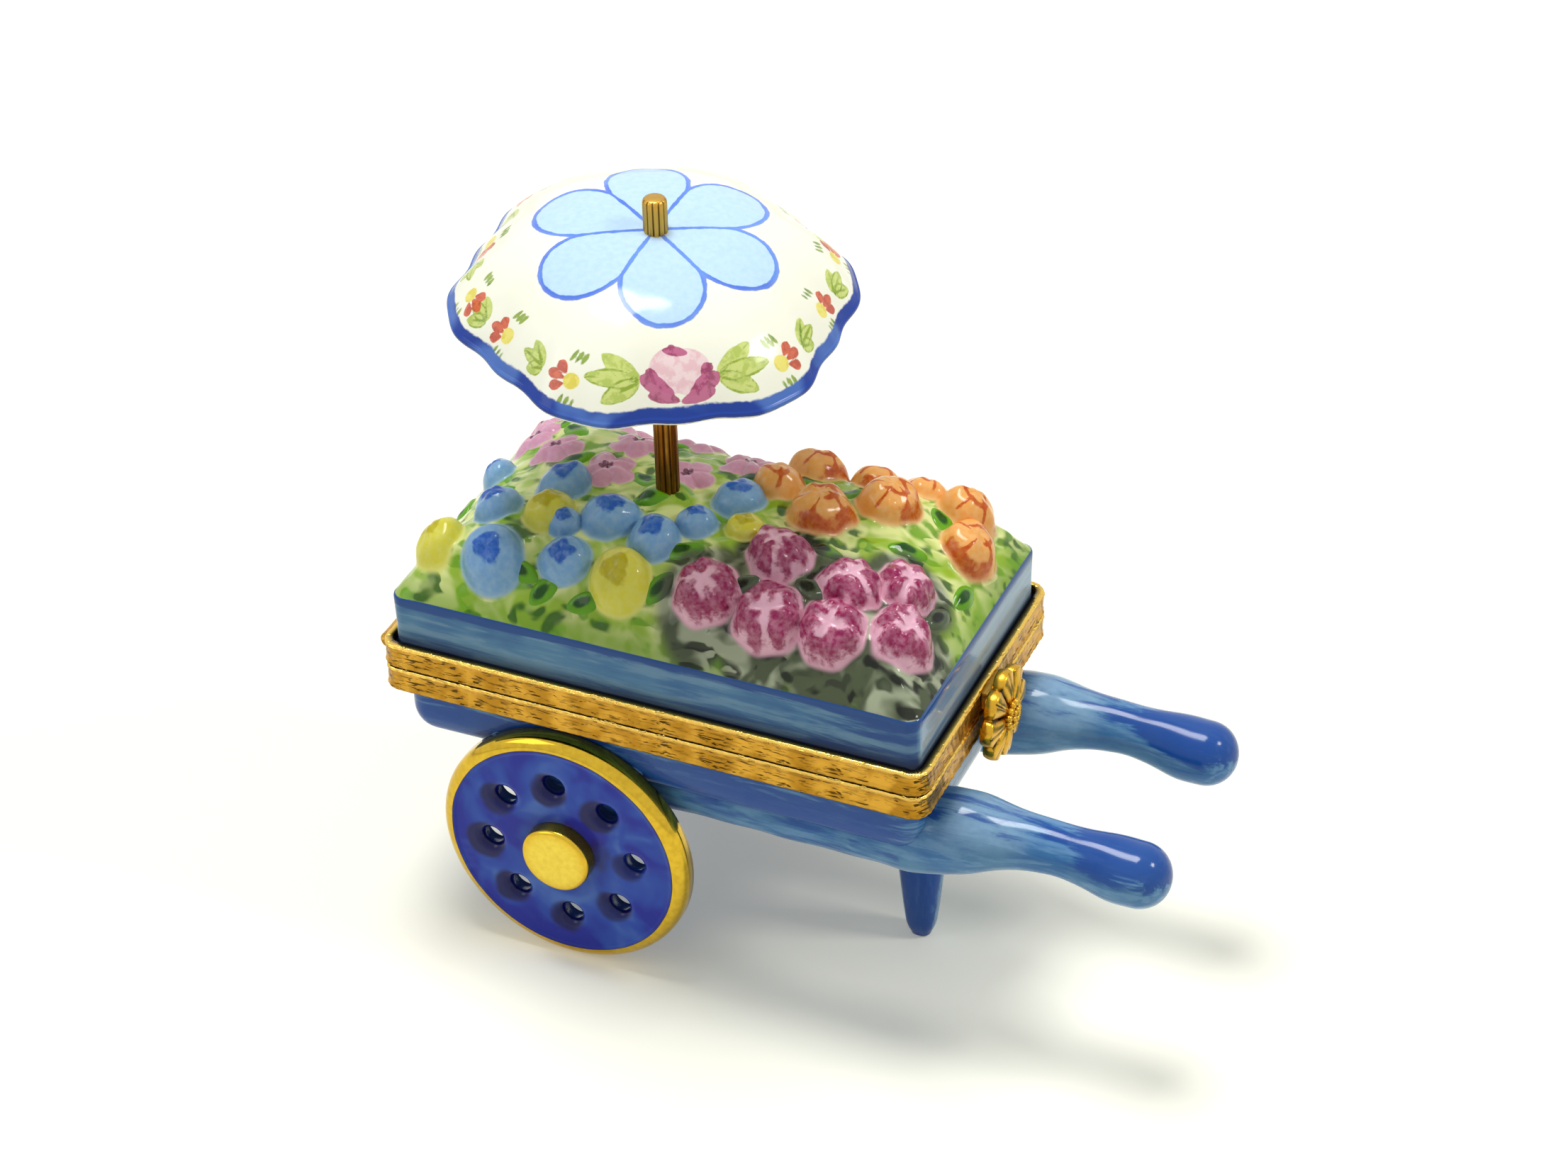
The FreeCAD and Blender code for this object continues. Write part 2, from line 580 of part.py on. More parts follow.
def make_collar(canopy):
    """The collar under the canopy, set square to it."""
    low = CANOPY_RISE - CANOPY_THICK + COLLAR_LAP - COLLAR_HEIGHT
    collar = tilt_canopy(Part.makeCylinder(COLLAR_RADIUS, COLLAR_HEIGHT, V(0, 0, low)))
    return collar.cut(canopy).cut(pole_rod(POLE_RADIUS, LID_WALL_TOP_Z, POLE_TOP_Z))


def build():
    """All nodes by name."""
    shaft = make_shaft()
    pad = make_pad(shaft)
    lid = make_lid()
    canopy = make_canopy()
    nodes = {
        "tub": make_tub(),
        "shaft_near": shaft,
        "shaft_far": mirror_y(shaft),
        "pad_near": pad,
        "pad_far": mirror_y(pad),
        "wheel_near": make_wheel(),
        "wheel_far": mirror_y(make_wheel()),
        "hub_near": make_hub(),
        "hub_far": mirror_y(make_hub()),
        "leg": make_leg().cut(tub_body()),
        "lower_rim": make_rim(RIM_LOW_Z, RIM_PARTING_Z - RIM_GAP),
        "lower_knuckles": make_knuckles(0, PIN_RADIUS),
        "hinge_pin": make_pin(),
        "catch_nib": make_nib(),
        "lid": lid,
        "upper_rim": make_rim(RIM_PARTING_Z + RIM_GAP, RIM_TOP_Z),
        "upper_knuckles": make_knuckles(1, PIN_RADIUS + PIN_CLEARANCE),
        "clasp_pad": make_clasp_pad(),
        "clasp_tongue": make_tongue(),
        "clasp_flower": make_daisy(),
        "clasp_boss": make_boss(),
        "parasol_pole": make_pole(),
        "pole_nut": make_nut(lid),
        "canopy": canopy,
        "canopy_collar": make_collar(canopy),
    }
    crown_z = LID_WALL_TOP_Z + MOUND_RISE
    ground = lid_form(0, LID_SEAT_TOP_Z).fuse(pole_rod(POLE_CLEARING, LID_WALL_TOP_Z, crown_z + POLE_CLEARING))
    taken = []
    beds = {"blue_blossoms": BLUE, "yellow_blossoms": YELLOW, "lilac_blossoms": LILAC,
            "orange_roses": ORANGE, "magenta_peonies": MAGENTA}
    for name, places in beds.items():
        nodes[name] = planted([blossom(*place) for place in places], ground, taken)
    nodes["leaves"] = planted([leaf(*place) for place in LEAVES], ground, taken)
    return nodes


def export():
    """Write one file per node."""
    os.makedirs("parts", exist_ok=True)
    for name, shape in build().items():
        shape.translate(V(BOX_X, 0, 0))
        if not shape.isValid():
            print("not valid:", name)
        box = shape.BoundBox
        print(name, len(shape.Solids), round(shape.Volume, 1), [round(v, 2) for v in (
            box.XMin, box.XMax, box.YMin, box.YMax, box.ZMin, box.ZMax)])
        shape.exportStep("parts/" + name + ".step")


export()
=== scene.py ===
import math

import bpy
import numpy as np
from mathutils import Matrix, Vector


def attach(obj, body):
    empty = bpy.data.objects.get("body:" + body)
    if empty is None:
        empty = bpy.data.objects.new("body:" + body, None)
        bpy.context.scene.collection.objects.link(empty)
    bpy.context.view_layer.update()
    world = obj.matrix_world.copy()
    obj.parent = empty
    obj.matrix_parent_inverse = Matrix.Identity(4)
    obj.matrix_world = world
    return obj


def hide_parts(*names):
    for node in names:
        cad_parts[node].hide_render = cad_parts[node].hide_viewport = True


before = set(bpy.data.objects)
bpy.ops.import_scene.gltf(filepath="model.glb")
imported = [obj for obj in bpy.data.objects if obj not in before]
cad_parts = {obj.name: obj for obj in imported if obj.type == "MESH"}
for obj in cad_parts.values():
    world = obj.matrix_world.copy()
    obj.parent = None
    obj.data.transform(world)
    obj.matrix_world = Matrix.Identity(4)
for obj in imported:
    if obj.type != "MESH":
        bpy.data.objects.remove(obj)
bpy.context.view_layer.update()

# Tub
# The hollow porcelain box under the brass collar, cast in one with its floor and glazed blue outside.
# Its wall steps out inside the collar to form the grip, and the inside is left ivory white.
BOX_X = -10.875
TUB_HALF = (29.6, 15.7)
TUB_CORNER = 2.2
TUB_LOW = 24.2
RIM_HALF = (31.0, 18.1)
RIM_CORNER = 2.0
RIM_LOW, RIM_PARTING, RIM_TOP = 30.85, 33.78, 36.7
RIM_WALL = 0.9
WALL = 2.1
TUB_FOOT_INSET = 1.3
SEAT_GRIP = 0.45
SIDES = (("near", -1), ("far", 1))
STEEL_BLUE = "#3672AC"
SKY_BLUE = "#80ACD2"
DEEP_BLUE = "#0E429A"
IVORY = "#FBFBEA"


def shell(points, around=True, loop=False, first=False, last=False, **paint):
    """Faces between the neighbours of a grid of points in mm, in rows and columns.

    around joins the last column to the first and loop the last row to the first. first and last close an
    end row with a fan from its middle. A closed shell is turned so that the volume it holds is positive.
    """
    rows, columns = points.shape[:2]
    index = np.arange(rows * columns).reshape(rows, columns)
    if around:
        index = np.hstack([index, index[:, :1]])
    if loop:
        index = np.vstack([index, index[:1]])
    quads = np.stack([index[:-1, :-1], index[:-1, 1:], index[1:, 1:], index[1:, :-1]], axis=-1).reshape(-1, 4)
    flat = points.reshape(-1, 3)
    paint = {key: np.broadcast_to(value, (rows, columns)).reshape(-1) for key, value in paint.items()}
    fans = []
    for wanted, ring in ((first, index[0, ::-1]), (last, index[-1])):
        if wanted:
            middle = np.full(len(ring) - 1, len(flat))
            fans.append(np.stack([ring[:-1], ring[1:], middle], axis=-1))
            flat = np.vstack([flat, flat[ring[:-1]].mean(axis=0)])
            paint = {key: np.append(value, value[ring[:-1]].mean()) for key, value in paint.items()}
    fans = np.vstack(fans) if fans else np.empty((0, 3), int)
    return outward({"points": flat, "quads": quads, "fans": fans, "paint": paint})


def outward(form):
    """Turns all faces round if the sum of the volumes between them and the origin is below zero."""
    split = np.vstack([form["quads"][:, :3], form["quads"][:, [0, 2, 3]], form["fans"]])
    a, b, c = (form["points"][split[:, corner]] for corner in range(3))
    if np.einsum("ij,ij->i", a, np.cross(b, c)).sum() < 0:
        form["quads"], form["fans"] = form["quads"][:, ::-1], form["fans"][:, ::-1]
    return form


def together(forms):
    """One form from several, with the numbers of their points counted on."""
    counts = np.cumsum([0] + [len(form["points"]) for form in forms])
    keys = forms[0]["paint"]
    return {"points": np.vstack([form["points"] for form in forms]),
            "quads": np.vstack([form["quads"] + start for form, start in zip(forms, counts)]),
            "fans": np.vstack([form["fans"] + start for form, start in zip(forms, counts)]),
            "paint": {key: np.concatenate([form["paint"][key] for form in forms]) for key in keys}}


def piece(name, forms, body, material, replaced=()):
    """A smooth mesh object from forms in mm in the box's own frame, with their paint as attributes."""
    form = together(forms)
    mesh = bpy.data.meshes.new(name)
    place = (form["points"] + np.array([BOX_X, 0, 0])) / 1000
    loops = np.concatenate([form["quads"].reshape(-1), form["fans"].reshape(-1)])
    sizes = np.concatenate([np.full(len(form["quads"]), 4), np.full(len(form["fans"]), 3)])
    mesh.vertices.add(len(place))
    mesh.vertices.foreach_set("co", place.astype(np.float32).reshape(-1))
    mesh.loops.add(len(loops))
    mesh.loops.foreach_set("vertex_index", loops.astype(np.int32))
    mesh.polygons.add(len(sizes))
    mesh.polygons.foreach_set("loop_start", (np.cumsum(sizes) - sizes).astype(np.int32))
    mesh.polygons.foreach_set("use_smooth", np.ones(len(sizes), bool))
    mesh.update(calc_edges=True)
    for key, value in form["paint"].items():
        mesh.attributes.new(key, "FLOAT", "POINT").data.foreach_set("value", value.astype(np.float32))
    made = bpy.data.objects.new(name, mesh)
    bpy.context.scene.collection.objects.link(made)
    mesh.materials.append(material)
    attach(made, body)
    if replaced:
        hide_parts(*replaced)
    return made


def box_rings(half_x, half_y, corner, long_count=70, short_count=40, bend_count=12):
    """Rounded rectangles, one row for each entry: four quarter circles and evenly divided straight sides."""
    half_x, half_y, corner = (np.atleast_1d(np.asarray(v, float))[:, None] for v in (half_x, half_y, corner))
    bends = []
    for quarter, (side_x, side_y) in enumerate(((1, 1), (-1, 1), (-1, -1), (1, -1))):
        turn = np.radians(90 * quarter + np.linspace(0, 90, bend_count))
        bends.append(np.stack([side_x * (half_x - corner) + corner * np.cos(turn),
                               side_y * (half_y - corner) + corner * np.sin(turn)], axis=-1))
    parts = []
    for quarter in range(4):
        count = short_count if quarter % 2 else long_count
        share = np.linspace(0, 1, count + 2)[1:-1][None, :, None]
        start, end = bends[quarter][:, -1:], bends[(quarter + 1) % 4][:, :1]
        parts += [bends[quarter], start * (1 - share) + end * share]
    return np.concatenate(parts, axis=1)


def raised(rings, height):
    """Adds a height to each row of a set of rings."""
    height = np.broadcast_to(np.asarray(height, float).reshape(-1, 1), rings.shape[:2])
    return np.concatenate([rings, height[..., None]], axis=-1)


def turns(count):
    """Evenly divided turns in radians, without the last one, which would fall on the first."""
    return np.linspace(0, 2 * math.pi, count + 1)[:-1]


def ease(value, low, high):
    """Runs smoothly from 0 at low to 1 at high."""
    share = np.clip((value - low) / (high - low), 0, 1)
    return share * share * (3 - 2 * share)


def colour(code):
    """The linear colour of a #RRGGBB code."""
    parts = [int(code[i:i + 2], 16) / 255 for i in (1, 3, 5)]
    return tuple(p / 12.92 if p <= 0.04045 else ((p + 0.055) / 1.055) ** 2.4 for p in parts) + (1.0,)


def wired(tree, made, wires):
    """Sets a node's inputs, which are given as values or as other nodes' outputs."""
    for key, value in (wires or {}).items():
        if isinstance(value, bpy.types.NodeSocket):
            tree.links.new(value, made.inputs[key])
        else:
            made.inputs[key].default_value = value
    return made


def node(tree, kind, wires=None, **settings):
    """A shader node with its settings and its inputs."""
    made = tree.nodes.new("ShaderNode" + kind)
    for key, value in settings.items():
        setattr(made, key, value)
    return wired(tree, made, wires)


def mixed(tree, share, low, high):
    """Blends two colours."""
    low = colour(low) if isinstance(low, str) else low
    high = colour(high) if isinstance(high, str) else high
    return node(tree, "Mix", {0: share, 6: low, 7: high}, data_type="RGBA").outputs[2]


def levels(tree, value, low, high, bottom=0.0, top=1.0):
    """Runs a value smoothly from bottom to top between low and high."""
    return node(tree, "MapRange", {0: value, 1: low, 2: high, 3: bottom, 4: top},
                interpolation_type="SMOOTHSTEP").outputs[0]


def sums(tree, kind, first, second=0.0):
    """One step of arithmetic."""
    return node(tree, "Math", {0: first, 1: second}, operation=kind).outputs[0]


def times(tree, first, second):
    """One value times another."""
    return node(tree, "Math", {0: first, 1: second}, operation="MULTIPLY").outputs[0]


def noise(tree, where, scale, detail=2.0, **more):
    """The value of a noise texture at a place."""
    return node(tree, "TexNoise", {"Vector": where, "Scale": scale, "Detail": detail, **more}).outputs[0]


def painted(tree, name):
    """A value painted on the mesh."""
    return node(tree, "Attribute", attribute_name=name).outputs["Fac"]


def place_of(tree):
    """Object coordinates, in metres."""
    return node(tree, "TexCoord").outputs["Object"]


def effect(name, inputs, outputs):
    """An empty shader group with its sockets: (tree, its input node's outputs, its output node's inputs)."""
    tree = bpy.data.node_groups.new(name, "ShaderNodeTree")
    for kinds, way in ((inputs, "INPUT"), (outputs, "OUTPUT")):
        for key, kind in kinds.items():
            tree.interface.new_socket(key, in_out=way, socket_type="NodeSocket" + kind)
    return tree, tree.nodes.new("NodeGroupInput").outputs, tree.nodes.new("NodeGroupOutput").inputs


def use(tree, group, wires):
    """A group placed in a tree."""
    made = tree.nodes.new("ShaderNodeGroup")
    made.node_tree = group
    return wired(tree, made, wires).outputs


def brush_group():
    """Long strokes of a soft brush and the fine mottle of the glaze, from noise drawn out by Stretch."""
    tree, given, out = effect("brush strokes", {"Vector": "Vector", "Stretch": "Vector"},
                              {"Stroke": "Float", "Mottle": "Float", "Cloud": "Float"})
    drawn = node(tree, "VectorMath", {0: given["Vector"], 1: given["Stretch"]},
                 operation="MULTIPLY").outputs[0]
    stroke = noise(tree, drawn, 900.0, 5.0, Roughness=0.62, Distortion=0.3)
    tree.links.new(levels(tree, stroke, 0.36, 0.66), out["Stroke"])
    tree.links.new(levels(tree, noise(tree, given["Vector"], 1500.0, 3.0), 0.3, 0.75), out["Mottle"])
    tree.links.new(levels(tree, noise(tree, given["Vector"], 140.0), 0.35, 0.65), out["Cloud"])
    return tree


def glaze_group():
    """Slow ripples and pin-holes of a fired glaze, as a height and a roughness."""
    tree, given, out = effect("glaze skin", {"Vector": "Vector"}, {"Height": "Float", "Roughness": "Float"})
    pits = node(tree, "TexVoronoi", {"Vector": given["Vector"], "Scale": 620.0})
    hole = levels(tree, pits.outputs["Distance"], 0.0, 0.09, 0.12, 0.0)
    tree.links.new(sums(tree, "SUBTRACT", noise(tree, given["Vector"], 330.0), hole), out["Height"])
    haze = noise(tree, given["Vector"], 90.0, 3.0)
    tree.links.new(levels(tree, haze, 0.3, 0.7, 0.1, 0.2), out["Roughness"])
    return tree


BRUSH = brush_group()
GLAZE = glaze_group()


def new_material(name):
    """A material with an empty tree: (material, tree)."""
    made = bpy.data.materials.new(name)
    made.use_nodes = True
    made.node_tree.nodes.clear()
    return made, made.node_tree


def fired(tree, base, ripple=0.00002, **more):
    """A glazed porcelain surface over a base colour, with its glaze skin as bump and roughness."""
    skin = use(tree, GLAZE, {"Vector": place_of(tree)})
    bump = node(tree, "Bump", {"Strength": 0.5, "Distance": ripple, "Height": skin["Height"]}).outputs[0]
    wires = {"Base Color": base, "Roughness": skin["Roughness"], "Normal": bump, "IOR": 1.5,
             "Specular IOR Level": 0.22, "Coat Weight": 0.08, "Coat Roughness": 0.04}
    wires.update(more)
    surface = node(tree, "BsdfPrincipled", wires)
    node(tree, "OutputMaterial", {"Surface": surface.outputs[0]})
    return surface


def blue_glaze(name, stretch, darker=0.5):
    """Brushed blue: steel blue with sky-blue strokes, deep blue where `cobalt` is painted, ivory inside."""
    made, tree = new_material(name)
    brush = use(tree, BRUSH, {"Vector": place_of(tree), "Stretch": stretch})
    body = mixed(tree, brush["Cloud"], STEEL_BLUE, "#5589B2")
    body = mixed(tree, levels(tree, brush["Stroke"], 0.35, 1.0, 0.0, 0.45), body, SKY_BLUE)
    # Where pale is painted the blue is lighter; on the shafts this is a highlight painted on the top of the
    # root.
    body = mixed(tree, levels(tree, painted(tree, "pale"), 0.1, 0.9, 0.0, 0.7), body, "#A9C4D8")
    strokes = levels(tree, sums(tree, "SUBTRACT", painted(tree, "cobalt"),
                                times(tree, brush["Stroke"], darker)), 0.0, 0.45)
    body = mixed(tree, times(tree, strokes, 0.85), body, DEEP_BLUE)
    body = mixed(tree, times(tree, brush["Mottle"], 0.12), body, "#2C5C98")
    body = mixed(tree, levels(tree, painted(tree, "inside"), 0.4, 0.6), body, IVORY)
    fired(tree, body)
    return made


def tub_form():
    """Rounded rectangles in rows: up the outside, out to the grip, over the lip and down to the floor."""
    bend = np.linspace(0, math.pi / 2, 9)
    top, lip, floor = RIM_PARTING - SEAT_GRIP, 0.35, TUB_LOW + WALL
    outer, grip, inner = (np.array(TUB_HALF), np.array(RIM_HALF) - RIM_WALL, np.array(TUB_HALF) - WALL)
    sides = np.array([outer] * 11 + [grip] * 3 + [inner] * 5)
    stands_out = [*(-TUB_FOOT_INSET * (1 - np.sin(bend))), 0, 0, 0, 0, -lip, lip, 0, 0, -0.3, -1.2]
    half_x, half_y = (sides + np.array(stands_out)[:, None]).T
    height = [*(TUB_LOW + 2.2 * TUB_FOOT_INSET * (1 - np.cos(bend))), 29.0, RIM_LOW - 0.02, RIM_LOW + 0.05,
              top - lip, top, top, top - lip, floor + 1.2, floor + 0.4, floor]
    rows = len(height)
    rings = raised(box_rings(half_x, half_y, np.full(rows, TUB_CORNER)), height)
    wave = 0.05 * np.sin(0.35 * rings[..., 0] + 0.2 * rings[..., 2]) * (rings[..., 2] < RIM_LOW)
    rings[..., 1] += wave * np.sign(rings[..., 1])
    last_outer_row = 12
    inside = (np.arange(rows) > last_outer_row)[:, None].astype(float)
    near_edge = ease(rings[..., 0], 24, 29.2) * ease(30.0 - rings[..., 2], 0, 3.5)
    cobalt = 0.62 * (1 - ease(rings[..., 2], 27.0, 30.8)) + 0.25 - 0.5 * near_edge
    return shell(rings, first=True, last=True, cobalt=cobalt, pale=0.3 * near_edge, inside=inside)


TUB_BLUE = blue_glaze("blue glaze on the tub", (0.12, 0.12, 1.0))
piece("tub_shell", [tub_form()], "base", TUB_BLUE, ["tub"])

# Shafts
# Two porcelain shafts luted along the tub's underside. Each swells into a root past the end wall, narrows
# to a waist and ends in a round knob, brushed with cobalt along its top before the glaze was fired.
SHAFT_Y = 10.8
SHAFT_X = (-23.2, -22.0, -18.0, -4.0, 10.0, 21.0, 27.0, 30.5, 33.5, 36.5, 40.0, 43.0, 46.0, 49.0, 51.5, 54.9)
SHAFT_Z = (23.4, 23.0, 22.7, 22.6, 22.6, 22.8, 23.7, 24.6, 25.1, 25.5, 25.8, 25.9, 25.6, 25.2, 25.1, 25.1)
SHAFT_R = (2.2, 2.9, 3.5, 3.5, 3.5, 3.7, 4.5, 4.8, 4.4, 3.6, 2.95, 2.75, 3.05, 3.5, 3.55, 3.5)
TIP_X, TAIL_X = 54.9, -23.2
TIP_ROUND, TAIL_ROUND = 3.4, 2.0
UNDER_FLOOR = TUB_LOW + WALL - 0.4


def eased(x, known_x, known_y, width=1.1):
    """Values read off a polyline and averaged over a short window, which rounds its corners."""
    window = np.linspace(-width, width, 9)
    return np.mean([np.interp(x + step, known_x, known_y) for step in window], axis=0)


def shaft_form(side):
    """Circles carried along X, whose radius closes like a ball at both ends, under the tub's floor."""
    share = np.linspace(0, 1, 190)
    x = TAIL_X + (TIP_X - TAIL_X) * np.sin(share * math.pi / 2) ** 0.9
    radius = eased(x, SHAFT_X, SHAFT_R)
    knob = np.clip((x - (TIP_X - TIP_ROUND)) / TIP_ROUND, 0, 1)
    tail = np.clip((TAIL_X + TAIL_ROUND - x) / TAIL_ROUND, 0, 1)
    radius = radius * np.sqrt(np.clip(1 - knob ** 2, 0.0004, 1)) * np.sqrt(np.clip(1 - tail ** 2, 0.0004, 1))
    turn = turns(48)
    hand = 1 + 0.012 * np.sin(0.9 * x[:, None] + 2 * turn) + 0.01 * np.cos(3 * turn - 0.4 * x[:, None])
    y = side * SHAFT_Y + radius[:, None] * np.cos(turn) * hand
    z = eased(x, SHAFT_X, SHAFT_Z)[:, None] + radius[:, None] * np.sin(turn) * hand
    z = np.minimum(z, UNDER_FLOOR + 8 * ease(x, 27.9, 29.2)[:, None])
    points = np.stack([np.broadcast_to(x[:, None], y.shape), y, z], axis=-1)
    up = np.sin(turn)[None, :]
    far_part = x[:, None]
    top_line = np.exp(-((up - 0.85) / 0.28) ** 2) * ease(far_part, 27, 31)
    knob_top = ease(up, -0.2, 0.7) * ease(far_part, 43.5, 48)
    root = ease(far_part, 26, 33) * (1 - ease(far_part, 38, 44))
    cobalt = 0.15 + 0.55 * top_line * (1 - 0.6 * root) + 0.75 * knob_top + 0.2 * (far_part < 27)
    # pale paints a highlight along the top of the root, and lightens the underside where the shaft runs under
    # the tub.
    pale = root * ease(up, -0.5, 0.6) * 0.45 + 0.2 * (1 - ease(far_part, 24, 30)) * ease(-up, -0.6, 0.4)
    return shell(points, first=True, last=True, cobalt=cobalt, pale=pale, inside=0 * cobalt)


SHAFT_BLUE = blue_glaze("blue glaze on the shafts", (0.13, 1.0, 1.0), 0.7)
for name, side in SIDES:
    piece("shaft_form_" + name, [shaft_form(side)], "base", SHAFT_BLUE, ["shaft_" + name])

# Leg
# A tapered porcelain prop under the handle end, flared where it was luted to the tub's floor and rounded
# at its foot, where the glaze was wiped off before firing.
LEG_X = 23.5
LEG_Z = (0.0, 0.5, 1.6, 4.5, 9.0, 20.0, 24.2)
LEG_HALF_X = (0.75, 1.25, 1.65, 2.0, 2.45, 3.05, 4.0)
LEG_HALF_Y = (0.75, 1.2, 1.55, 1.8, 2.1, 2.55, 3.4)


def leg_form():
    """Softly squared ovals up the leg: x and y go as the 0.8th power of the cosine and sine of the turn."""
    z = np.concatenate([[0, 0.02, 0.1, 0.25, 0.5, 0.9], np.linspace(1.4, 24.6, 50)])
    half_x = eased(z, LEG_Z, LEG_HALF_X, 0.5)
    half_y = eased(z, LEG_Z, LEG_HALF_Y, 0.5)
    half_x[:4] = (0.75, 0.85, 0.98, 1.12)
    half_y[:4] = (0.75, 0.84, 0.95, 1.08)
    turn = turns(40)
    across = np.sign(np.cos(turn)) * np.abs(np.cos(turn)) ** 0.8
    along = np.sign(np.sin(turn)) * np.abs(np.sin(turn)) ** 0.8
    x = LEG_X + half_x[:, None] * across
    y = half_y[:, None] * along
    points = np.stack([x, y, np.broadcast_to(z[:, None], x.shape)], axis=-1)
    front = ease(-along, 0.1, 0.9)[None, :]
    # The deeper blue towards the top is painted shade under the tub; the deeper blue of the near face is the
    # leg's own paint.
    cobalt = 0.35 + 0.5 * front + 0.3 * ease(z[:, None], 12, 22)
    return shell(points, first=True, last=True, cobalt=cobalt, pale=0.25 * (1 - front) + 0 * cobalt,
                 inside=0 * cobalt)


LEG_BLUE = blue_glaze("blue glaze on the leg", (1.0, 1.0, 0.16))
piece("leg_form", [leg_form()], "base", LEG_BLUE, ["leg"])

# Pads
# Clay pressed between each wheel's back and the shaft behind it, smoothed to hollow fillets at both sides.
WHEEL_X, WHEEL_RADIUS = -10.7, 14.53
WHEEL_BACK = 15.7
PAD_HALF, PAD_FLARE, PAD_DEPTH = 9.0, 4.6, 6.3
PAD_LOW, PAD_TOP, PAD_CORNER = 18.6, 26.6, 2.4


def pad_form(side):
    """Rounded oblongs from the wheel's back in to the shaft, widening as a quarter circle does.

    Past the tub's side they stay under its floor.
    """
    share = np.linspace(0, 1, 16)
    depth = WHEEL_BACK + 0.1 - PAD_DEPTH * share
    half_x = PAD_HALF + PAD_FLARE * (1 - np.sqrt(np.clip(1 - share ** 2, 0, 1)))
    low = PAD_LOW + 1.4 * share
    outline = box_rings(half_x, (PAD_TOP - low) / 2, np.full(16, PAD_CORNER), 30, 10, 8)
    z = outline[..., 1] + ((PAD_TOP + low) / 2)[:, None]
    slope = (z - low[:, None]) / (PAD_TOP - low)[:, None]
    in_the_tub = (depth < TUB_HALF[1] - 0.5)[:, None]
    z = np.where(in_the_tub, np.minimum(z, UNDER_FLOOR), z)
    x = WHEEL_X + outline[..., 0] * (0.72 + 0.42 * slope ** 2)
    points = np.stack([x, side * np.broadcast_to(depth[:, None], x.shape), z], axis=-1)
    return shell(points, first=True, last=True, cobalt=0.45 + 0 * x, pale=0 * x, inside=0 * x)


for name, side in SIDES:
    piece("pad_form_" + name, [pad_form(side)], "base", SHAFT_BLUE, ["pad_" + name])

# Wheels
# Porcelain discs pierced with eight funnel holes. The face is painted cobalt, the rounded edge and tread
# are gilded by hand, so the gold ends in an uneven line.
FACE_RADIUS, MIDDLE_RADIUS = 12.6, 3.0
FACE_Y, TREAD_Y = 18.2, 16.8
GILT_FROM, GILT_TO = 12.85, 13.35
HOLES, HOLE_CIRCLE, FIRST_HOLE = 8, 8.5, 0.1
HOLE_MOUTH, HOLE_THROAT, HOLE_BACK, THROAT_DEPTH = 1.75, 1.1, 1.6, 0.9
GOLD = "#D2AE33"
COBALT = "#0A1FA0"


def welded(forms):
    """One form whose points closer than 1/1000 mm are made one."""
    form = together(forms)
    _, kept, where = np.unique(np.round(form["points"], 3), axis=0, return_index=True, return_inverse=True)
    where = where.reshape(-1)
    form["points"] = form["points"][kept]
    form["quads"], form["fans"] = where[form["quads"]], where[form["fans"]]
    form["paint"] = {key: value[kept] for key, value in form["paint"].items()}
    return outward(form)


def sector_outline(inner, outer, arc_count=30, side_count=26):
    """Round the edge of one eighth of a ring, from its own middle line: (radius, turn) of each point."""
    half = math.pi / HOLES
    arc = np.linspace(-half, half, arc_count + 1)
    reach = np.linspace(outer, inner, side_count + 1)
    radius = np.concatenate([np.full(arc_count, outer), reach[:-1], np.full(arc_count, inner), reach[:0:-1]])
    turn = np.concatenate([arc[:-1], np.full(side_count, half), arc[:0:-1], np.full(side_count, -half)])
    return radius, turn


def sector_form(middle, ring_radius, ring_y, face_y, rows, side):
    """A flat eighth with a hole: rows of points run from rings round the hole out to the eighth's edge."""
    radius, turn = sector_outline(MIDDLE_RADIUS, FACE_RADIUS)
    edge = np.stack([radius * np.cos(turn), radius * np.sin(turn)], axis=-1)
    away = edge - np.array([HOLE_CIRCLE, 0])
    away /= np.linalg.norm(away, axis=1, keepdims=True)
    rings = np.array([HOLE_CIRCLE, 0]) + np.asarray(ring_radius)[:, None, None] * away[None]
    share = np.linspace(0, 1, rows + 1)[1:, None, None] ** 1.2
    flat = rings[-1:] * (1 - share) + edge[None] * share
    local = np.concatenate([rings, flat])
    depth = np.concatenate([ring_y, np.full(rows, face_y)])
    cos, sin = math.cos(middle), math.sin(middle)
    x = local[..., 0] * cos - local[..., 1] * sin
    z = local[..., 0] * sin + local[..., 1] * cos
    y = side * np.broadcast_to(depth[:, None], x.shape)
    points = np.stack([WHEEL_X + x, y, WHEEL_RADIUS + z], axis=-1)
    # The dark blot round each hole, set off to its lower left, is painted shade; by_hub darkens a patch beside
    # the hub.
    blot = np.hypot(x - HOLE_CIRCLE * cos + 0.7, z - HOLE_CIRCLE * sin + 0.5)
    by_hub = np.hypot(x - 4.6, 0.6 * (z - 0.8))
    smudge = np.maximum(1 - ease(blot, 1.3, 3.2), 0.8 - 0.8 * ease(by_hub, 0.8, 3.0))
    return points, smudge


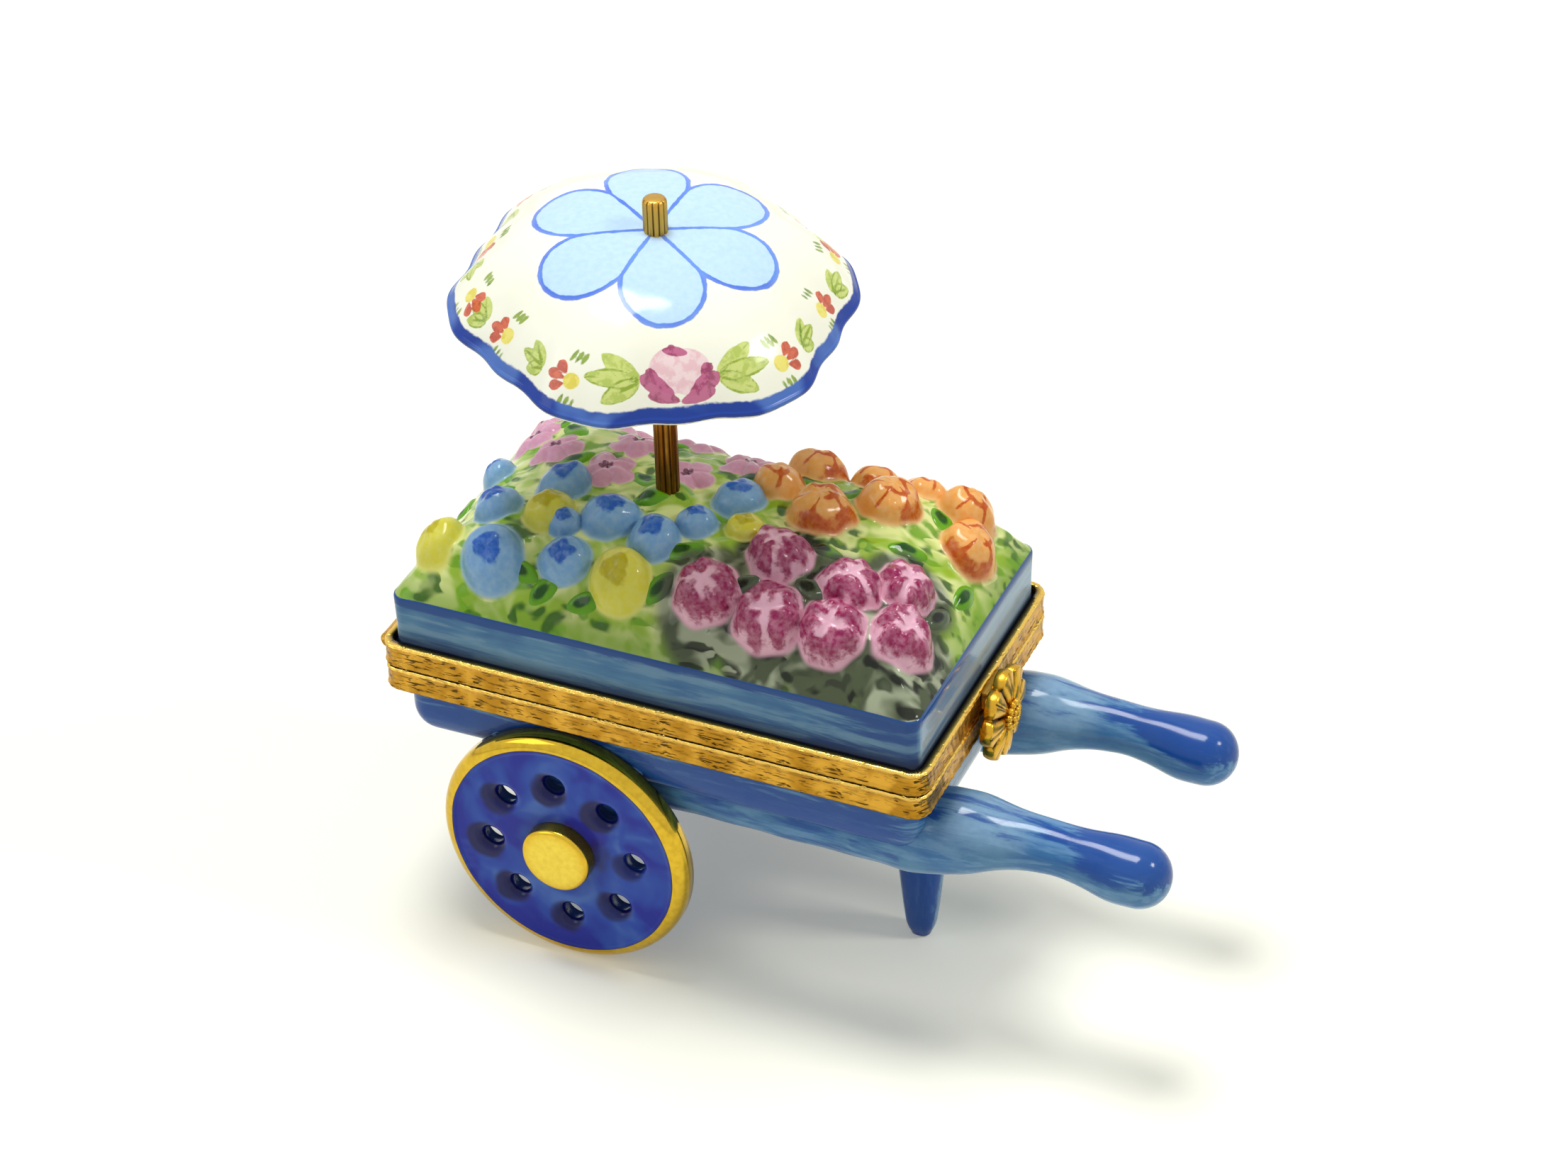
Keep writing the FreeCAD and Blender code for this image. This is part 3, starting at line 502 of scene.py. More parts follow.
def wheel_form(side):
    """Eight front and eight back eighths, funnels between them, and the edge turned from a profile."""
    forms = []
    opening = np.linspace(0, math.pi / 2, 9)
    funnel_r = HOLE_THROAT + (HOLE_MOUTH + 0.35 - HOLE_THROAT) * (1 - np.cos(opening))
    funnel_y = FACE_Y - THROAT_DEPTH * (1 - np.sin(opening))
    ring_r = [HOLE_BACK, 0.6 * HOLE_BACK + 0.4 * HOLE_THROAT, *funnel_r]
    ring_y = [WHEEL_BACK, WHEEL_BACK + 1.0, *funnel_y]
    for hole in range(HOLES):
        middle = 2 * math.pi * (hole + FIRST_HOLE) / HOLES
        front, smudge = sector_form(middle, ring_r, ring_y, FACE_Y, 14, side)
        inner = np.concatenate([[1.0, 1.0], np.linspace(0.8, 0, 9), np.zeros(14)])[:, None]
        forms.append(shell(front, gilt=0.0, smudge=np.maximum(smudge, inner), hollow=inner))
        back, _ = sector_form(middle, [HOLE_BACK], [WHEEL_BACK], WHEEL_BACK, 8, side)
        forms.append(shell(back, gilt=0.0, smudge=0.0, hollow=0.0))
    eighth = np.linspace(-1, 1, 31)[:-1] * math.pi / HOLES
    turn = np.concatenate([2 * math.pi * (hole + FIRST_HOLE) / HOLES + eighth for hole in range(HOLES)])
    bend = np.linspace(0, math.pi / 2, 13)
    shoulder = FACE_RADIUS + 0.25
    edge_r = [FACE_RADIUS, FACE_RADIUS + 0.12, *(shoulder + (WHEEL_RADIUS - shoulder) * np.sin(bend)),
              WHEEL_RADIUS, WHEEL_RADIUS - 0.25, FACE_RADIUS]
    edge_y = [FACE_Y, FACE_Y + 0.02, *(TREAD_Y + (FACE_Y - TREAD_Y + 0.1) * np.cos(bend)),
              WHEEL_BACK + 0.2, WHEEL_BACK, WHEEL_BACK]
    reach = np.array(edge_r)[:, None]
    points = np.stack([WHEEL_X + reach * np.cos(turn), side * np.array(edge_y)[:, None] + 0 * reach * turn,
                       WHEEL_RADIUS + reach * np.sin(turn)], axis=-1)
    gilt = ease(reach[:, 0], GILT_FROM, GILT_TO)
    gilt[-2:] = 1.0, 0.0
    forms.append(shell(points, gilt=gilt[:, None], smudge=0.0, hollow=0.0))
    for y in (FACE_Y, WHEEL_BACK):
        reach = np.array([MIDDLE_RADIUS, MIDDLE_RADIUS / 3])[:, None]
        disc = np.stack([WHEEL_X + reach * np.cos(turn), side * y + 0 * reach * turn,
                         WHEEL_RADIUS + reach * np.sin(turn)], axis=-1)
        forms.append(shell(disc, last=True, gilt=0.0, smudge=0.3, hollow=0.0))
    return welded(forms)


def gold_and_cobalt():
    """Cobalt in broad patches, darker round the holes with painted shade, and burnished gold where `gilt` is
    painted.
    """
    made, tree = new_material("cobalt face and gilded edge")
    where = place_of(tree)
    brush = use(tree, BRUSH, {"Vector": where, "Stretch": (1.0, 1.0, 1.0)})
    edge = sums(tree, "ADD", painted(tree, "gilt"), times(tree, brush["Cloud"], 0.2))
    gilt = levels(tree, edge, 0.62, 0.72)
    line = times(tree, levels(tree, edge, 0.4, 0.6), levels(tree, edge, 0.62, 0.8, 1.0, 0.0))
    patch = noise(tree, where, 170.0, Distortion=0.5)
    face = mixed(tree, levels(tree, patch, 0.4, 0.56), COBALT, "#1C48B2")
    face = mixed(tree, levels(tree, patch, 0.54, 0.72, 0.0, 0.8), face, "#4A74C4")
    # Near-black navy round the holes is painted shade; it also fills the funnel walls and a patch beside the
    # hub.
    smudge = sums(tree, "ADD", painted(tree, "smudge"), times(tree, brush["Cloud"], 0.5))
    smudge = levels(tree, smudge, 0.6, 1.15)
    face = mixed(tree, smudge, face, "#050A58")
    face = mixed(tree, levels(tree, painted(tree, "hollow"), 0.6, 1.0, 0.0, 0.6), face, "#4E6AA0")
    metal = mixed(tree, times(tree, brush["Mottle"], 0.4), GOLD, "#A8821C")
    base = mixed(tree, gilt, mixed(tree, line, face, "#4A3410"), metal)
    fired(tree, base, Metallic=gilt)
    return made


WHEEL_PAINT = gold_and_cobalt()
for name, side in SIDES:
    piece("wheel_form_" + name, [wheel_form(side)], "base", WHEEL_PAINT, ["wheel_" + name])

# Hubs
# A thick gilded boss luted to each wheel's middle. Its face was left matt and its edge burnished.
HUB_RADIUS, HUB_FACE = 3.95, 20.1


def hub_form(side):
    """A profile turned round the axle: a skirt at the face, a straight side and a softly crowned front."""
    bend = np.linspace(0, math.pi / 2, 9)
    reach = [HUB_RADIUS, HUB_RADIUS, *(HUB_RADIUS - 0.5 + 0.5 * np.cos(bend)), 2.6, 1.5, 0.6]
    y = [FACE_Y - 0.3, FACE_Y + 0.3, *(HUB_FACE - 0.55 + 0.5 * np.sin(bend)), HUB_FACE - 0.01, HUB_FACE,
         HUB_FACE]
    turn = turns(96)
    reach = np.array(reach)[:, None] * (1 + 0.008 * np.sin(3 * turn) + 0.006 * np.cos(5 * turn))
    points = np.stack([WHEEL_X + reach * np.cos(turn), side * np.array(y)[:, None] + 0 * reach,
                       WHEEL_RADIUS + reach * np.sin(turn)], axis=-1)
    matt = 1 - ease(np.hypot(points[..., 0] - WHEEL_X, points[..., 2] - WHEEL_RADIUS), 3.2, 3.6)
    return shell(points, first=True, last=True, matt=matt)


def gilding():
    """Fired gold, matt and pale on the face and bright on the edge, with fine wear."""
    made, tree = new_material("gilding")
    brush = use(tree, BRUSH, {"Vector": place_of(tree), "Stretch": (1.0, 1.0, 1.0)})
    metal = mixed(tree, painted(tree, "matt"), GOLD, "#E4CB4E")
    metal = mixed(tree, times(tree, brush["Mottle"], 0.25), metal, "#B98A22")
    rough = node(tree, "MapRange", {0: painted(tree, "matt"), 3: 0.22, 4: 0.42}).outputs[0]
    fired(tree, metal, Metallic=1.0, Roughness=rough)
    return made


GILDING = gilding()
for name, side in SIDES:
    piece("hub_form_" + name, [hub_form(side)], "base", GILDING, ["hub_" + name])

# Rims
# Two chased brass collars that grip the porcelain, one round the tub and one round the lid. Each is a bent
# band with burnished edges and an engraved face, and its ends meet at the hinge.
RIM_EASE = 0.28
BRASS_LIGHT, BRASS_MID, BRASS_DARK = "#ECC460", "#A87820", "#1E1204"


def rim_form(low, high):
    """A rounded oblong path with a band profile: eased edges, a bead at each and a shallow waist between."""
    bend = np.linspace(0, math.pi / 2, 5)
    share = np.linspace(0, 1, 17)
    waist = -0.11 * ease(share, 0.05, 0.2) * (1 - ease(share, 0.8, 0.95))
    out = [-RIM_WALL, *(-RIM_EASE + RIM_EASE * np.sin(bend)), *waist, *(-RIM_EASE + RIM_EASE * np.cos(bend)),
           -RIM_WALL]
    z = [low, *(low + RIM_EASE * (1 - np.cos(bend))), *(low + RIM_EASE + share * (high - low - 2 * RIM_EASE)),
         *(high - RIM_EASE * (1 - np.sin(bend))), high]
    out = np.array(out)
    rings = box_rings(RIM_HALF[0] + out, RIM_HALF[1] + out, RIM_CORNER + out, 240, 140, 18)
    step = np.linalg.norm(np.diff(rings[8], axis=0, append=rings[8][:1]), axis=1)
    along = np.concatenate([[0], np.cumsum(step)[:-1]])
    up = np.array(z)[:, None] - low
    dent = 0.035 * np.sin(1.9 * along + 1.3 * np.sin(0.7 * along)) * np.sin(5.1 * along + 2.0 * up)
    rings *= 1 + (dent * (np.abs(out) < 0.2)[:, None] / 20)[..., None]
    # edge paints a highlight on the top of the band. The dark at its lower edge is the joint between the bands;
    # on the inner faces it is painted shade of the gap.
    edge = 1 - ease((high - low) - up, 0.12, 0.45)
    seam = np.maximum(1 - ease(up, 0.08, 0.3), (out < -0.5)[:, None])
    return shell(raised(rings, z), loop=True, along=along[None, :], up=up, edge=edge, seam=seam)


def chasing_group():
    """Engraving on a band: long scratches, sloped nicks and worn bright patches, from (along, up) in mm."""
    tree, given, out = effect("chasing", {"Vector": "Vector"}, {"Cut": "Float", "Worn": "Float"})

    def cuts(turn, stretch, size, low, high):
        laid = node(tree, "Mapping", {"Vector": given["Vector"], "Rotation": (0.0, 0.0, turn),
                                      "Scale": stretch})
        return levels(tree, noise(tree, laid.outputs[0], size, Distortion=0.6), low, high)

    scratches = sums(tree, "MAXIMUM", cuts(0.2, (0.35, 2.4, 1.0), 1.5, 0.58, 0.65),
                     cuts(-0.35, (0.4, 2.2, 1.0), 1.3, 0.61, 0.67))
    nicks = cuts(0.85, (0.6, 2.6, 1.0), 0.9, 0.64, 0.69)
    share = levels(tree, noise(tree, given["Vector"], 0.35, 1.0), 0.38, 0.6, 0.3, 0.95)
    tree.links.new(sums(tree, "MAXIMUM", times(tree, scratches, share), nicks), out["Cut"])
    tree.links.new(levels(tree, noise(tree, given["Vector"], 0.4), 0.35, 0.65), out["Worn"])
    return tree


CHASING = chasing_group()


def bare_metal(tree, base, rough, height, strength, distance):
    """A metal surface of a base colour, with a bump from a height."""
    bump = node(tree, "Bump", {"Strength": strength, "Distance": distance, "Height": height}).outputs[0]
    surface = node(tree, "BsdfPrincipled", {"Base Color": base, "Metallic": 1.0, "Roughness": rough,
                                            "Normal": bump})
    node(tree, "OutputMaterial", {"Surface": surface.outputs[0]})


def chased_brass():
    """Aged brass: dark in the cuts and at the joint, with painted shade on the inner faces; gold on the face; a
    painted highlight on the polished top edge.
    """
    made, tree = new_material("chased brass")
    where = node(tree, "CombineXYZ", {"X": painted(tree, "along"), "Y": painted(tree, "up")}).outputs[0]
    marks = use(tree, CHASING, {"Vector": where})
    metal = mixed(tree, marks["Worn"], BRASS_MID, "#CC9A38")
    # A highlight is painted on the top edge; below, the joint is dark and the inner faces carry painted shade.
    metal = mixed(tree, painted(tree, "edge"), metal, BRASS_LIGHT)
    cut = times(tree, marks["Cut"], levels(tree, painted(tree, "edge"), 0.2, 0.9, 0.9, 0.1))
    metal = mixed(tree, sums(tree, "MAXIMUM", cut, painted(tree, "seam")), metal, BRASS_DARK)
    grain = noise(tree, place_of(tree), 2600.0, 3.0)
    height = sums(tree, "SUBTRACT", times(tree, grain, 0.25), marks["Cut"])
    rough = levels(tree, painted(tree, "edge"), 0.2, 0.9, 0.34, 0.2)
    bare_metal(tree, metal, rough, height, 0.8, 0.0001)
    return made


CHASED = chased_brass()
piece("rim_lower", [rim_form(RIM_LOW, RIM_PARTING - 0.05)], "base", CHASED, ["lower_rim"])
piece("rim_upper", [rim_form(RIM_PARTING + 0.05, RIM_TOP)], "lid", CHASED, ["upper_rim"])

# Hinge and clasp fittings
# Knuckles soldered to both collars with a drawn pin through them, and the block, spring strip and nib of
# the clasp. They are plain brass, scratched and darkened round the solder.


def plain_brass():
    """Drawn brass with fine scratches and brown stains, on Object coordinates."""
    made, tree = new_material("plain brass")
    where = place_of(tree)
    drawn = node(tree, "Mapping", {"Vector": where, "Scale": (1.0, 0.12, 1.0)}).outputs[0]
    lines = noise(tree, drawn, 2200.0, 4.0)
    stain = noise(tree, where, 420.0, 4.0)
    metal = mixed(tree, levels(tree, stain, 0.42, 0.68), "#C79538", "#6E4A1A")
    metal = mixed(tree, levels(tree, lines, 0.5, 0.75, 0.0, 0.6), metal, BRASS_LIGHT)
    bare_metal(tree, metal, levels(tree, stain, 0.3, 0.7, 0.25, 0.42), lines, 0.5, 0.00003)
    return made


def dress(name, material):
    """Gives a CAD node's object one material in all its slots."""
    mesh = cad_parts[name].data
    if not mesh.materials:
        mesh.materials.append(material)
    for place in range(len(mesh.materials)):
        mesh.materials[place] = material


PLAIN_BRASS = plain_brass()
for name in ("lower_knuckles", "upper_knuckles", "hinge_pin", "catch_nib", "clasp_pad", "clasp_tongue",
             "pole_nut", "canopy_collar"):
    dress(name, PLAIN_BRASS)

# Daisy clasp
# A cast brass daisy soldered to the upper collar: eight cupped petals with a groove down each, round a
# beaded middle. Its thick scalloped side catches the light.
CLASP_Z, CLASP_BACK, CLASP_FACE = 32.8, 31.9, 33.6
DAISY_RADIUS, DAISY_PETALS = 5.05, 8


def daisy_form():
    """Discs of growing radius, whose edge is scalloped by the absolute cosine of four times the turn."""
    turn = turns(192)
    lobe = np.abs(np.cos(DAISY_PETALS / 2 * turn)) ** 0.55
    rim = DAISY_RADIUS * (0.80 + 0.20 * lobe)
    share = np.linspace(0.14, 1, 26)[:, None]
    between = np.exp(-(lobe / 0.55) ** 2)
    groove = np.exp(-((1 - np.abs(np.cos(DAISY_PETALS / 2 * turn))) / 0.012))
    cup = 0.42 * np.sin(share * math.pi) ** 1.2 * lobe - 0.35 * between * ease(share, 0.15, 0.6)
    front_x = CLASP_FACE - 0.45 + cup - 0.1 * groove * ease(share, 0.2, 0.5) + 0.1 * share
    reach = share * rim[None, :]
    side_share = np.linspace(0, 1, 7)[1:, None]
    side_x = front_x[-1:] * (1 - side_share) + CLASP_BACK * side_share
    side_r = rim[None, :] * (1 + 0.03 * np.sin(side_share * math.pi))
    back = np.array([0.6, 0.2])[:, None]
    x = np.vstack([front_x, side_x, np.full((2, len(turn)), CLASP_BACK)])
    reach = np.vstack([reach, side_r, back * rim[None, :]])
    points = np.stack([x, reach * np.cos(turn), CLASP_Z + reach * np.sin(turn)], axis=-1)
    low = np.vstack([between * ease(share, 0.1, 0.5) + 0.6 * groove * share, 0.5 * between + 0 * side_r,
                     0 * back * rim])
    return shell(points, first=True, last=True, low=np.clip(low, 0, 1))


def ball(middle, radius, rows=10, columns=16):
    """A sphere in rings from pole to pole."""
    down = np.linspace(0.12, math.pi - 0.12, rows)[:, None]
    turn = turns(columns)
    reach = radius * np.sin(down)
    points = np.stack([middle[0] + radius * np.cos(down) + 0 * turn, middle[1] + reach * np.cos(turn),
                       middle[2] + reach * np.sin(turn)], axis=-1)
    return shell(points, first=True, last=True, low=0.15)


def bead_forms():
    """A low crowned middle and two rings of small balls."""
    forms = [ball((CLASP_FACE - 0.35, 0, CLASP_Z), 0.95, 14, 28)]
    for count, reach, radius, x in ((6, 0.62, 0.3, CLASP_FACE + 0.42), (11, 1.35, 0.42, CLASP_FACE + 0.1)):
        for step in range(count):
            turn = 2 * math.pi * step / count
            forms.append(ball((x, reach * math.cos(turn), CLASP_Z + reach * math.sin(turn)), radius))
    return forms


def cast_brass():
    """Cast and gilded brass, dark in its hollows."""
    made, tree = new_material("cast brass")
    grain = noise(tree, place_of(tree), 1500.0, 5.0, Roughness=0.6)
    low = sums(tree, "ADD", painted(tree, "low"), levels(tree, grain, 0.45, 0.75, 0.0, 0.35))
    metal = mixed(tree, levels(tree, low, 0.2, 0.8), "#CFA032", "#2E1F08")
    bare_metal(tree, metal, 0.27, grain, 0.6, 0.00005)
    return made


CAST_BRASS = cast_brass()
piece("daisy_petals", [daisy_form()], "lid", CAST_BRASS, ["clasp_flower"])
piece("daisy_beads", bead_forms(), "lid", CAST_BRASS, ["clasp_boss"])

# Lid
# The hollow porcelain lid. Its blue wall carries a swelling bed of foliage, modelled in the clay and
# painted yellow green, grey green round the peonies, under a thick clear glaze.
LID_HALF = (29.75, 16.85)
LID_CORNER, LID_SQUARENESS = 1.4, 24
LID_WALL_TOP, MOUND_RISE, LID_THICK = 42.3, 8.7, 2.2
PEONIES = ((10.4, -6.2, 3.0), (4.8, -12.0, 3.2), (12.0, -12.8, 3.4), (18.8, -7.4, 3.0), (23.2, -3.6, 2.9),
           (18.8, -12.8, 3.2), (25.4, -9.8, 3.3))
POLE = (-4.6, -0.8)


def lid_shares(x, y):
    """The 24th powers of x and y over the lid's half sizes. The 24th root of their sum is 1 at its edge."""
    return (np.abs(x) / LID_HALF[0]) ** LID_SQUARENESS, (np.abs(y) / LID_HALF[1]) ** LID_SQUARENESS


def mound(x, y):
    """Height of the bed: one minus the share of the way to the edge, raised to 3.5 near the long sides
    and to 4.6 near the ends, with slow and fine waves and a boss round the pole.
    """
    share_x, share_y = lid_shares(x, y)
    reach = (share_x + share_y + 1e-12) ** (1 / LID_SQUARENESS)
    level = np.clip(1 - reach ** (3.5 + 1.1 * share_x / (share_x + share_y + 1e-12)), 0, 1)
    wave = np.sin(0.95 * x + 0.9 * np.sin(0.8 * y)) * np.sin(1.1 * y + 0.7 * np.sin(0.9 * x))
    fine = np.sin(2.3 * x - 1.2 * y) * np.sin(2.0 * y + 0.8 * x)
    from_pole = np.hypot(x - POLE[0], y - POLE[1])
    boss = 1.35 * np.exp(-(from_pole / 2.5) ** 4)
    rise = MOUND_RISE * level + (0.2 * wave + 0.09 * fine) * ease(level, 0.02, 0.25)
    return LID_WALL_TOP + rise + boss * ease(level, 0.1, 0.3)


def greyness(x, y):
    """How much a place belongs to the grey-green part: near any peony, or by the near corner."""
    corner = ((27.5, -14.5, 3.4), (20.0, -15.0, 1.5), (8.0, -13.0, 1.0))
    near = [np.hypot(x - px, y - py) / (r + 2.0) for px, py, r in (*PEONIES, *corner)]
    return 1 - ease(np.min(near, axis=0), 0.85, 1.15)


def lid_forms():
    """Rings in from the wall over the bed, then the wall, the grip and the hollow inside."""
    share = np.concatenate([np.linspace(0.02, 0.9, 62), np.linspace(0.91, 1.0, 14)])
    corner = np.minimum(LID_CORNER + 6 * (1 - share), 0.92 * LID_HALF[1] * share)
    top = box_rings(LID_HALF[0] * share, LID_HALF[1] * share, corner, 100, 56, 14)
    height = mound(top[..., 0], top[..., 1])
    height[-1] = LID_WALL_TOP - 0.1
    top = np.concatenate([top, height[..., None]], axis=-1)
    low = RIM_PARTING + 0.5
    outer, grip, inner = (np.array(LID_HALF), np.array(RIM_HALF) - RIM_WALL, np.array(LID_HALF) - LID_THICK)
    sides = np.array([outer] * 4 + [grip] * 2 + [inner] * 4)
    stands_out = np.array([0.06, 0.05, 0, 0, 0, 0, 0.3, 0, 0, -0.6])
    half_x, half_y = (sides + stands_out[:, None]).T
    z = [LID_WALL_TOP - 0.35, 41.0, 38.5, 35.95, 35.9, low, low, low + 0.3, 40.2, 41.0]
    wall = raised(box_rings(half_x, half_y, np.full(len(z), LID_CORNER), 100, 56, 14), z)
    under = np.array([0.96, 0.85, 0.6, 0.3, 0.06])
    hollow = box_rings(inner[0] * under, inner[1] * under, 3 * under, 100, 56, 14)
    roof = 41.6 + (MOUND_RISE - LID_THICK + 0.2) * (1 - under ** 3.6)
    points = np.concatenate([top, wall, raised(hollow, roof)])
    x, y, z = points[..., 0], points[..., 1], points[..., 2]
    outside = (np.arange(len(points)) < len(top) + 6)[:, None]
    # band is the deep blue line along the top. foot deepens the blue just above the collar as painted shade,
    # and shade paints the gap there near black; pale lightens the end wall as painted light.
    band = 1 - ease(np.abs(z - (LID_WALL_TOP - 0.35)), 0.15, 0.8)
    foot = 1 - ease(z, 36.7, 38.6)
    near_corner = ease(x, 14, 29) * ease(-y, 10, 16) * (1 - ease(x, 29.5, 29.7))
    return [shell(points, first=True, last=True, wall=np.where(z < LID_WALL_TOP - 0.02, 1.0, 0.0),
                  inside=1.0 - outside, cobalt=0.2 + 0.85 * band + 0.4 * foot + 0.4 * near_corner,
                  pale=0.4 * ease(x, 29.5, 29.74) * (1 - band), shade=1 - ease(z, 36.72, 37.1),
                  grey=greyness(x, y), low=1 - ease(z, LID_WALL_TOP + 0.4, LID_WALL_TOP + 3.0))]


def foliage_group():
    """Brushed foliage: a pale ground, washes and soft bent daubs, in yellow green or in grey green."""
    tree, given, out = effect("foliage", {"Vector": "Vector", "Grey": "Float", "Low": "Float"},
                              {"Color": "Color"})
    wash = node(tree, "TexNoise", {"Vector": given["Vector"], "Scale": 230.0, "Detail": 2.0, "Distortion": 0.6})
    turned = node(tree, "Mapping", {"Vector": given["Vector"], "Rotation": (0.0, 0.0, 0.5),
                                    "Scale": (0.6, 1.2, 1.0)}).outputs[0]
    bent = node(tree, "VectorMath", {0: wash.outputs["Color"], 3: 0.004}, operation="SCALE").outputs[0]
    bent = node(tree, "VectorMath", {0: turned, 1: bent}, operation="ADD").outputs[0]
    daub = node(tree, "TexVoronoi", {"Vector": bent, "Scale": 620.0}, feature="SMOOTH_F1")
    split = node(tree, "SeparateColor", {"Color": daub.outputs["Color"]})
    daubs = times(tree, levels(tree, daub.outputs["Distance"], 0.3, 0.5, 1.0, 0.0),
                 levels(tree, split.outputs[0], 0.3, 0.4))
    deep = levels(tree, split.outputs[1], 0.25, 0.65)
    green = mixed(tree, levels(tree, wash.outputs[0], 0.4, 0.6), "#DCE496", "#96B834")
    green = mixed(tree, times(tree, given["Low"], 0.65), green, "#6A9616")
    green = mixed(tree, times(tree, daubs, 0.9), green, mixed(tree, deep, "#6CA012", "#205800"))
    grey = mixed(tree, levels(tree, wash.outputs[0], 0.4, 0.56), "#A4AC90", "#4C563C")
    grey = mixed(tree, times(tree, daubs, 0.95), grey, mixed(tree, deep, "#323C26", "#0A1006"))
    tree.links.new(mixed(tree, given["Grey"], green, grey), out["Color"])
    return tree


FOLIAGE = foliage_group()


def foliage_of(tree):
    """The foliage colour at a place, from the mesh's own `grey` and `low`."""
    return use(tree, FOLIAGE, {"Vector": place_of(tree), "Grey": painted(tree, "grey"),
                               "Low": painted(tree, "low")})["Color"]


def lid_glaze():
    """Blue brushed wall, lighter on the end wall as painted light and darker at its foot as painted shade,
    foliage above it and ivory inside.
    """
    made, tree = new_material("glaze on the lid")
    where = place_of(tree)
    brush = use(tree, BRUSH, {"Vector": where, "Stretch": (0.1, 0.1, 1.0)})
    blue = mixed(tree, brush["Cloud"], "#33699C", "#4F82A8")
    blue = mixed(tree, levels(tree, brush["Stroke"], 0.3, 1.0, 0.0, 0.5), blue, "#7CA0B8")
    deep = levels(tree, sums(tree, "SUBTRACT", painted(tree, "cobalt"),
                             times(tree, brush["Stroke"], 0.45)), 0.05, 0.5)
    blue = mixed(tree, times(tree, deep, 0.9), blue, "#16458C")
    # The paler end wall is painted light; the near-black band at the foot is painted shadow.
    blue = mixed(tree, painted(tree, "pale"), blue, "#AECADC")
    blue = mixed(tree, painted(tree, "shade"), blue, "#0C1424")
    base = mixed(tree, levels(tree, painted(tree, "wall"), 0.35, 0.65), foliage_of(tree), blue)
    base = mixed(tree, levels(tree, painted(tree, "inside"), 0.4, 0.6), base, IVORY)
    fired(tree, base, 0.00003)
    return made


piece("lid_bed", lid_forms(), "lid", lid_glaze(), ["lid"])

# Leaves
# Small plump leaves of slip laid on the bed between the blossoms, dark green in the middle.
LEAF_HALF = (2.3, 1.25)
LEAVES = ((-23.6, -3.2, 20), (-28.0, -2.6, 80), (-17.2, 3.0, 35), (-8.0, 1.2, -30), (-6.0, -2.4, 10),
          (-15.6, -13.6, -10), (-12.6, -14.4, 60), (-7.8, -14.6, 15), (-0.4, -12.4, 70), (0.6, -8.2, 30),
          (14.2, -3.6, 0), (12.6, 7.0, 50), (21.4, 1.6, 20), (27.6, 1.6, 85), (22.4, 8.6, -40),
          (2.2, 5.6, 30), (7.8, 7.8, -20), (26.8, -3.8, 75), (-21.8, 11.4, 40), (-9.4, 10.4, 0),
          (-20.2, 9.0, -30), (8.2, -10.6, 45), (15.2, -9.4, -25))


def on_bed(middle_x, middle_y, across, along, lift):
    """Points over the bed: steps in the bed's tangent plane, moved square to that plane onto the bed.

    Points that would pass the wall are drawn back to 0.985 of the way to it. The lift is half upright.
    """
    d = 0.4
    rise_x = (mound(middle_x + d, middle_y) - mound(middle_x - d, middle_y)) / (2 * d)
    rise_y = (mound(middle_x, middle_y + d) - mound(middle_x, middle_y - d)) / (2 * d)
    up = np.array([-rise_x, -rise_y, 1.0])
    up /= np.linalg.norm(up)
    first = np.array([1, 0, rise_x]) / math.hypot(1, rise_x)
    second = np.cross(up, first)
    x = middle_x + across * first[0] + along * second[0]
    y = middle_y + across * first[1] + along * second[1]
    z = mound(middle_x, middle_y) + across * first[2] + along * second[2]
    for _ in range(4):
        step = (mound(x, y) - z) * up[2]
        x, y, z = x + step * up[0], y + step * up[1], z + step * up[2]
    reach = sum(lid_shares(x, y)) ** (1 / LID_SQUARENESS)
    back = np.minimum(1, 0.985 / np.maximum(reach, 1e-6))
    x, y = x * back, y * back
    lean = 0.5 * up + 0.5 * np.array([0, 0, 1.0])
    lean /= np.linalg.norm(lean)
    return np.stack([x + lean[0] * lift, y + lean[1] * lift, mound(x, y) + lean[2] * lift], axis=-1)


def leaf_form(x, y, turn):
    """A plump oval with slightly pointed ends, crowned by 0.36 mm."""
    angle = turns(40)
    share = np.linspace(0.05, 1, 12)[:, None]
    long = LEAF_HALF[0] * np.cos(angle)
    wide = LEAF_HALF[1] * np.sin(angle) * (1 - 0.25 * np.cos(angle) ** 2)
    along, side = share * long, share * wide
    lift = 0.36 * (1 - share ** 3) - 0.12 * share ** 6
    turn = math.radians(turn)
    points = on_bed(x, y, along * math.cos(turn) - side * math.sin(turn),
                    along * math.sin(turn) + side * math.cos(turn), lift)
    heart = 1 - ease(np.hypot(along / 1.5 + 0.2, side / 0.75), 0.35, 1.1)
    return shell(points, first=True, last=True, edge=share ** 2 + 0 * side, heart=heart, low=0.0,
                 grey=greyness(points[..., 0], points[..., 1]))


def leaf_paint():
    """Leaf green, darker inside and streaked, with a pale edge."""
    made, tree = new_material("leaf green glaze")
    brush = use(tree, BRUSH, {"Vector": place_of(tree), "Stretch": (0.5, 0.5, 0.5)})
    dark = sums(tree, "ADD", painted(tree, "heart"), times(tree, brush["Stroke"], 0.4))
    dark = levels(tree, dark, 0.3, 1.1)
    green = mixed(tree, dark, "#62A010", "#154A02")
    grey = mixed(tree, dark, "#4E5A44", "#10170C")
    leaf = mixed(tree, painted(tree, "grey"), green, grey)
    base = mixed(tree, levels(tree, painted(tree, "edge"), 0.86, 1.0, 0.0, 0.5), leaf, foliage_of(tree))
    fired(tree, base)
    return made


piece("leaf_dabs", [leaf_form(*leaf) for leaf in LEAVES], "lid", leaf_paint(), ["leaves"])

